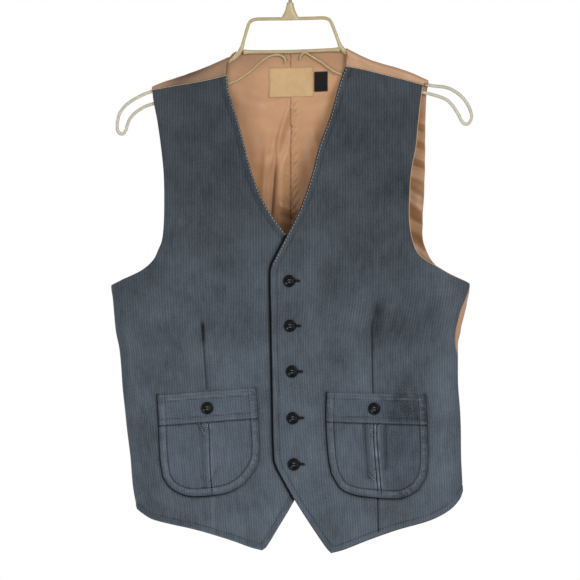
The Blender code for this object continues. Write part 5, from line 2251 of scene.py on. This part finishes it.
@dataclass
class Hanger:
    """Moulded plastic hanger and its wire hook."""

    rod_radius: float = 2.25
    wire_radius: float = 2.3
    hook_radius: float = 19.0
    tail_share: float = 0.56
    # Places, as x and drop, where webs of the moulding swell the rod.
    webs: Rows = ((-64, 115), (-70, 121), (66, 113), (72, 119))
    web_share: float = 0.28
    rod: Rows = (
        (-6, 133), (-7, 126), (-15, 122), (-27, 124), (-40, 133), (-53, 144.5), (-75, 158), (-120, 171),
        (-177, 185.5), (-188, 189), (-196, 193.5), (-203, 198.5), (-208.5, 205), (-212, 213), (-214.5, 221),
        (-219, 225.3), (-224, 222), (-225.5, 215), (-224.5, 207), (-221.5, 197), (-212, 186), (-195, 175.5),
        (-181, 170), (-163, 163.5), (-121, 150), (-90, 136.5), (-80, 131), (-70, 123.5), (-63.5, 114),
        (-60.5, 103.6), (-56, 88), (-52.5, 79.5), (-46, 76), (-30, 75.3), (0, 75), (30, 74.3), (46, 74.2),
        (52.5, 78), (58.5, 92), (63, 104), (66, 111.5), (74, 120), (83, 126.5), (107, 136.5), (150, 149.5),
        (181, 161.5), (205, 165), (221.5, 174.5), (231, 186), (236, 198), (236, 206), (231, 212.5),
        (225, 210), (219.5, 200), (212, 188.5), (203, 180), (180, 172.5), (120, 160), (62, 145.5), (40, 131),
        (29, 124.5), (20, 119.5), (14.5, 122.5), (13, 129)
    )
    neck_bar: Rows = ((-60.5, 118.2), (0, 117.8), (65, 115))
    # Each ring of the boss is a drop, half its width and half its depth.
    boss: Rows = (
        (53.6, 3.6, 3.6), (54.2, 4.6, 4.6), (58, 5.1, 4.7), (62, 6.2, 4.6), (66, 7.6, 4.4), (70, 9.5, 4.2),
        (73.5, 11.6, 3.6), (76.5, 13.5, 3.0)
    )
    socket: tuple[float, float] = (45.0, 68.0)
    wire_end: float = 67.6

    def tube_path(self, rows: Rows, step: float) -> Array:
        """Evenly spaced centre line in the hanger's plane, from x and drop rows."""
        flat = smooth_line(rows, step)
        return np.stack((flat[:, 0], np.zeros(len(flat)), -flat[:, 1]), axis=1)

    def rounded(self, path: Array, radius: float) -> tuple[Array, Array]:
        """Path and radii of a tube whose ends are rounded.

        Args:
            path: the centre line.
            radius: the tube's radius.

        Returns:
            The longer path, and its radii.
        """
        angles = np.radians((8, 25, 45, 65))
        first = path[0] - path[1]
        last = path[-1] - path[-2]
        first /= np.linalg.norm(first)
        last /= np.linalg.norm(last)
        head = [path[0] - first * radius * (1 - math.cos(a)) for a in angles]
        tail = [path[-1] - last * radius * (1 - math.cos(a)) for a in angles[::-1]]
        from_ends = np.minimum(*(np.linalg.norm(path - end, axis=1) for end in (path[0], path[-1])))
        keep = path[from_ends > radius]
        radii = [radius * math.sin(a) for a in angles] + [radius] * len(keep)
        radii += [radius * math.sin(a) for a in angles[::-1]]
        return np.array(head + list(keep) + tail), np.array(radii)

    def solid(self, name: str, path: Array, radii: Any, sides: int, finish: Finish) -> bpy.types.Object:
        """Closed tube along a path.

        Args:
            name: the object's name.
            path: its centre line in millimetres.
            radii: one radius, or one for each point of the path.
            sides: faces round the tube.
            finish: what it is made of.

        Returns:
            The object.
        """
        points: list[Array] = []
        faces: list[tuple[int, ...]] = []
        add_tube(points, faces, path, radii, sides)
        return new_object(name, np.array(points) * MM, faces, (finish,))

    def build_frame(self) -> bpy.types.Object:
        """Rod, neck bar and boss joined in one moulding.

        Returns:
            The object.
        """
        path, radii = self.rounded(self.tube_path(self.rod, 1.3), self.rod_radius)
        run = np.concatenate(([0.0], np.cumsum(np.linalg.norm(np.diff(path, axis=0), axis=1))))
        tail = np.minimum(run, run[-1] - run)
        radii = radii * (self.tail_share + (1 - self.tail_share) * smooth_step((tail - 70) / 70))
        for x, drop in self.webs:
            gap = np.hypot(path[:, 0] - x, path[:, 2] + drop)
            radii = radii * (1 + self.web_share * hump(gap, 7.0))
        moulding = self.solid("hanger_moulding", path, radii, 16, PLASTIC)
        line = self.tube_path(self.neck_bar, 2.0)
        from_end = np.minimum(np.abs(line[:, 0] - line[0, 0]), np.abs(line[:, 0] - line[-1, 0]))
        swell = self.rod_radius * (1.04 + 0.45 * hump(from_end, 6.0))
        bar = self.solid("bar", line, swell, 16, PLASTIC)
        points: list[Array] = []
        faces: list[tuple[int, ...]] = []
        sides = 24
        angles = 2 * math.pi * np.arange(sides) / sides
        for drop, wide, deep in self.boss:
            points.extend(np.array((wide * math.cos(a), deep * math.sin(a), -drop)) for a in angles)
        for row in range(len(self.boss) - 1):
            for k in range(sides):
                a, b = row * sides + k, row * sides + (k + 1) % sides
                faces.append((a, a + sides, b + sides, b))
        faces.append(tuple(range(sides)))
        last = (len(self.boss) - 1) * sides
        faces.append(tuple(last + k for k in reversed(range(sides))))
        boss = new_object("boss", np.array(points) * MM, faces, (PLASTIC,))
        hole = np.array([(0, 0, -z) for z in self.socket])
        socket = self.solid("socket", hole, self.wire_radius + 0.3, 20, PLASTIC)
        tools = ((bar, "UNION"), (boss, "UNION"), (socket, "DIFFERENCE"))
        for solid in (bar, boss, socket, moulding):
            recalculate_normals(solid)
        for tool, operation in tools:
            change = moulding.modifiers.new(operation.lower(), "BOOLEAN")
            change.operation = operation
            change.solver = "EXACT"
            change.object = tool
        bpy.context.view_layer.update()
        graph = bpy.context.evaluated_depsgraph_get()
        mesh = bpy.data.meshes.new_from_object(moulding.evaluated_get(graph))
        moulding.modifiers.clear()
        moulding.data = mesh
        for tool, _ in tools:
            bpy.data.objects.remove(tool, do_unlink=True)
        mesh.shade_smooth()
        mesh.set_sharp_from_angle(angle=math.radians(50))
        return moulding

    def build_hook(self) -> bpy.types.Object:
        """Wire hook whose inner top is the origin.

        Returns:
            The object.
        """
        radius = self.hook_radius + self.wire_radius
        angles = np.radians(np.arange(-60, 201, 5))
        arc = np.stack((radius * np.cos(angles), self.hook_radius - radius * np.sin(angles)), axis=1)
        stem = np.array(((0, self.wire_end), (0, 58), (0.3, 50), (3.5, 42)), dtype=float)
        rows = np.concatenate((stem, arc))
        path, radii = self.rounded(self.tube_path(rows, 2.0), self.wire_radius)
        hook = self.solid("hanger_wire_hook", path, radii, 20, STEEL)
        recalculate_normals(hook)
        return hook


@dataclass
class Studio:
    """Plain pale floor, soft lights and the camera."""

    floor_drop: float = 1.25
    floor_half: float = 3.0
    view_width: float = 0.754
    view_drop: float = 0.4286
    distance: float = 9.0
    front_plane: float = 0.025
    sensor: float = 36.0
    sky: float = 0.5
    # Each lamp's name, place, side and watts.
    lamps: tuple[tuple[str, tuple[float, float, float], float, float], ...] = (
        ("key", (1.25, -2.6, 0.65), 0.9, 42.0), ("fill", (-1.5, -2.6, -0.5), 1.8, 22.0),
        ("back", (-1.8, 2.2, 0.6), 2.2, 60.0)
    )

    def build(self) -> None:
        """Make the floor, the light and the camera."""
        half = self.floor_half
        corners = np.array(((-half, -half, 0), (half, -half, 0), (half, half, 0), (-half, half, 0)))
        corners[:, 2] = -self.floor_drop
        floor = new_object("studio_floor", corners, ((0, 1, 2, 3),), (FLOOR,))
        world = bpy.data.worlds.new("studio")
        world.use_nodes = True
        tree = world.node_tree
        seen = add_node(tree, "LightPath").outputs["Is Camera Ray"]
        strength = add_node(tree, "MapRange", {"Value": seen, "To Min": self.sky, "To Max": 1.0})
        feed(tree.nodes["Background"], {"Color": (1.0, 1.0, 1.0, 1.0), "Strength": strength})
        scene = bpy.context.scene
        scene.world = world
        scene.view_settings.view_transform = "Standard"
        for lamp in self.lamps:
            self.lamp(*lamp)
        camera = bpy.data.cameras.new("camera")
        camera.sensor_width = self.sensor
        camera.lens = self.sensor * (self.distance - self.front_plane) / self.view_width
        camera.clip_end = 30.0
        item = bpy.data.objects.new("camera", camera)
        item.location = (0.0, -self.distance, -self.view_drop)
        item.rotation_euler = (math.pi / 2, 0.0, 0.0)
        scene.collection.objects.link(item)
        scene.camera = item

    def lamp(self, name: str, spot: tuple[float, float, float], size: float, power: float) -> None:
        """Add one soft lamp aimed at the vest.

        Args:
            name: the lamp's name.
            spot: where it stands.
            size: its side.
            power: its power in watts.
        """
        light = bpy.data.lights.new(name, "AREA")
        light.size = size
        light.energy = power
        item = bpy.data.objects.new(name, light)
        item.location = spot
        aim = Vector((0.0, 0.0, -self.view_drop)) - Vector(spot)
        item.rotation_euler = aim.to_track_quat("-Z", "Y").to_euler()
        bpy.context.scene.collection.objects.link(item)


@dataclass
class Vest:
    """The whole vest: panels, pockets, sewing, buttons, labels and hanger."""

    form: BodyForm = field(default_factory=BodyForm)
    buttons: Rows = ((-1, 417), (0, 475), (2.5, 534.5), (3.5, 595), (5, 655))
    pocket_buttons: dict[Side, tuple[float, float]] = field(
        default_factory=lambda: {Side.RIGHT: (-107, 582), Side.LEFT: (109, 583)}
    )
    front_gap: float = 0.5
    # Pale edge stitches run above the first of these drops, and hem stitches below the second.
    neck_foot: float = 397.0
    hem_head: float = 664.0

    def place(self, item: bpy.types.Object, slot: str, *nodes: str) -> None:
        """Ride a piece on the body and hide the CAD nodes that it stands for.

        Args:
            item: the piece.
            slot: not used.
            nodes: the CAD nodes that it stands for.
        """
        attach(item, BODY)
        if nodes:
            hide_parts(*nodes)
        log.info("%s: %d faces", item.name, len(item.data.polygons))

    def build(self) -> None:
        """Build and dress every piece in order."""
        seams = SideSeams(self.form)
        fronts = {side: Front.cut(self.form, seams, side) for side in Side}
        backs = {side: Back.cut(self.form, seams, side) for side in Side}
        pockets = {side: Pocket.cut(self.form, fronts[side]) for side in Side}
        labels = (
            Label.cut(self.form, "vest_label_main", "label_main", (-27, 28, 138.5, 176.5), CREAM_LABEL, 0.6),
            Label.cut(
                self.form, "vest_label_size", "label_size", (29.5, 46.5, 143.5, 169.5), BLACK_LABEL, 0.3
            )
        )
        # Painted contact shadows beside each pocket, and on the under front beside the top front's edge.
        for pocket in pockets.values():
            pocket.front.touch(pocket.u_edge, 1.1, pocket.rows.far_fade)
        under, top_front = fronts[Side.RIGHT], fronts[Side.LEFT]
        under.contact_shadows.append((top_front.finished_edge, 1.5, 3.0, 0.0))
        nearby = beside(top_front.finished_edge, -5.0, -3.6, -2.2, -0.8, 0.8, 2.2, 3.6, 5.0)
        under.features.extend(even_line(line, 2.6) for line in nearby)
        top_front.slits = [Buttonhole(top_front, x, drop).lines()[1] for x, drop in self.buttons]
        top_front.features.extend(even_line(slit, 1.5) for slit in top_front.slits)
        for panel, slot in (
            *((fronts[s], "corduroy_front") for s in Side), *((backs[s], "satin") for s in Side),
            *((pockets[s], "corduroy_pocket") for s in Side), (labels[0], "label_cream"),
            (labels[1], "label_black")
        ):
            item = panel.build()
            self.place(item, slot, panel.node)
        sewing = self.sew(fronts, backs, pockets, labels)
        self.sew_buttons(fronts, pockets)
        for panel in (*fronts.values(), *backs.values(), *pockets.values(), *labels):
            if isinstance(panel, Pocket):
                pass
            elif isinstance(panel, Label):
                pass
            panel.flat_size()
            panel.area()
        hanger = Hanger()
        self.place(hanger.build_frame(), "hanger_plastic", "hanger_frame")
        self.place(hanger.build_hook(), "hook_steel", "hanger_hook")

    def sew(
        self, fronts: dict[Side, Front], backs: dict[Side, Back], pockets: dict[Side, Pocket],
        labels: Sequence[Label]
    ) -> dict[str, list[bpy.types.Object]]:
        """Lay every row of stitches.

        Args:
            fronts: both fronts.
            backs: not used.
            pockets: both pockets.
            labels: both labels.

        Returns:
            The stitch pieces, listed for each node that they lie on.
        """
        sewn: dict[str, list[bpy.types.Object]] = {}
        # After its thread, a row names the pitch, length and width of its stitches, then any slant.
        for side, front in fronts.items():
            edge = StitchRows("edge_stitches_" + side.word, EDGE_THREAD, 4.4, 2.6, 0.85, 0.5 * side.value)
            edge.add(front, front.edge_line[front.edge_line[:, 1] < self.neck_foot])
            hem = StitchRows("hem_stitches_" + side.word, HEM_THREAD, 4.0, 2.4, 0.6, 0.5 * side.value)
            hem.add(front, front.edge_line[front.edge_line[:, 1] > self.hem_head])
            top = StitchRows("top_stitches_" + side.word, TOP_THREAD, 3.3, 2.5, 0.6)
            top.add(front, front.stitch_line)
            holes = StitchRows("buttonholes_" + side.word, DARK_THREAD, 0.75, 1.7, 0.7, math.pi / 2)
            shoulder = StitchRows("shoulder_seam_" + side.word, EDGE_THREAD, 1.6, 2.2, 1.0)
            shoulder.add(front, front.shoulder_edge, 0.2)
            rows = [edge, hem, top, shoulder]
            if side is Side.LEFT:
                for x, drop in self.buttons:
                    loop, _ = Buttonhole(front, x, drop).lines()
                    holes.add(front, loop)
                rows.append(holes)
            sewn[front.node] = self.lay(rows, "corduroy_front")
        for side, pocket in pockets.items():
            rows = StitchRows("pocket_stitches_" + side.word, TOP_THREAD, 3.0, 2.2, 0.55)
            border = StitchRows("pocket_border_" + side.word, BORDER_THREAD, 3.0, 2.3, 0.8)
            middle = pocket.outline.mean(axis=0)
            border.add(pocket, Pocket.toward(pocket.u_edge, pocket.border - 0.5, middle))
            rows.add(pocket, Pocket.toward(pocket.u_edge, 1.8, middle))
            for rise in (pocket.band_inset, pocket.top_inset):
                rows.add(pocket, pocket.band_line[2:-2] - np.array((0.0, rise)))
            tacks = StitchRows("pocket_tacks_" + side.word, TACK_THREAD, 2.6, 1.9, 0.95)
            for line in pocket.tack_lines:
                tacks.add(pocket, line)
            sewn[pocket.node] = self.lay((rows, border, tacks), "corduroy_pocket")
        for label in labels:
            rows = StitchRows(label.name + "_stitches", TAN_THREAD, 2.2, 1.5, 0.35)
            places = even_line(closed(label.outline), 1.0)
            middle = label.outline.mean(axis=0)
            line = middle + (places - middle) * 0.955
            points, out = label.points_at(line, np.full(len(line), -label.thick / 2 - 0.05))
            rows.lines.append((points, -out))
            sewn[label.node] = self.lay((rows,), "satin")
        return sewn

    def lay(self, rows: Sequence[StitchRows], slot: str) -> list[bpy.types.Object]:
        """Build and place rows of stitches.

        Args:
            rows: the rows.
            slot: the record's material slot.

        Returns:
            One piece for each of them.
        """
        pieces = []
        for row in rows:
            pieces.append(row.build())
            self.place(pieces[-1], slot)
        return pieces

    def sew_buttons(self, fronts: dict[Side, Front], pockets: dict[Side, Pocket]) -> None:
        """Place the buttons on their cloth.

        Args:
            fronts: both fronts.
            pockets: both pockets.
        """
        spots = []
        for n, place in enumerate(self.buttons, start=1):
            spots.append((str(n), fronts[Side.LEFT], place, "button_%d" % n))
        for side in Side:
            name = "pocket_button_" + side.word
            spots.append(("pocket_" + side.word, pockets[side], self.pocket_buttons[side], name))
        for number, panel, place, node in spots:
            flat = self.form.front_places((place,))
            points, out = panel.on_top(flat, self.front_gap)
            button = Button(number, points[0], out[0])
            self.place(button.build(), "button", node)
            self.place(button.sewing(), "button")


def main() -> None:
    """Build the studio and the vest."""
    logging.basicConfig(level=logging.INFO, format="%(name)s %(message)s")
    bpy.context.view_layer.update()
    Studio().build()
    Vest().build()


if __name__ == "__main__":
    main()
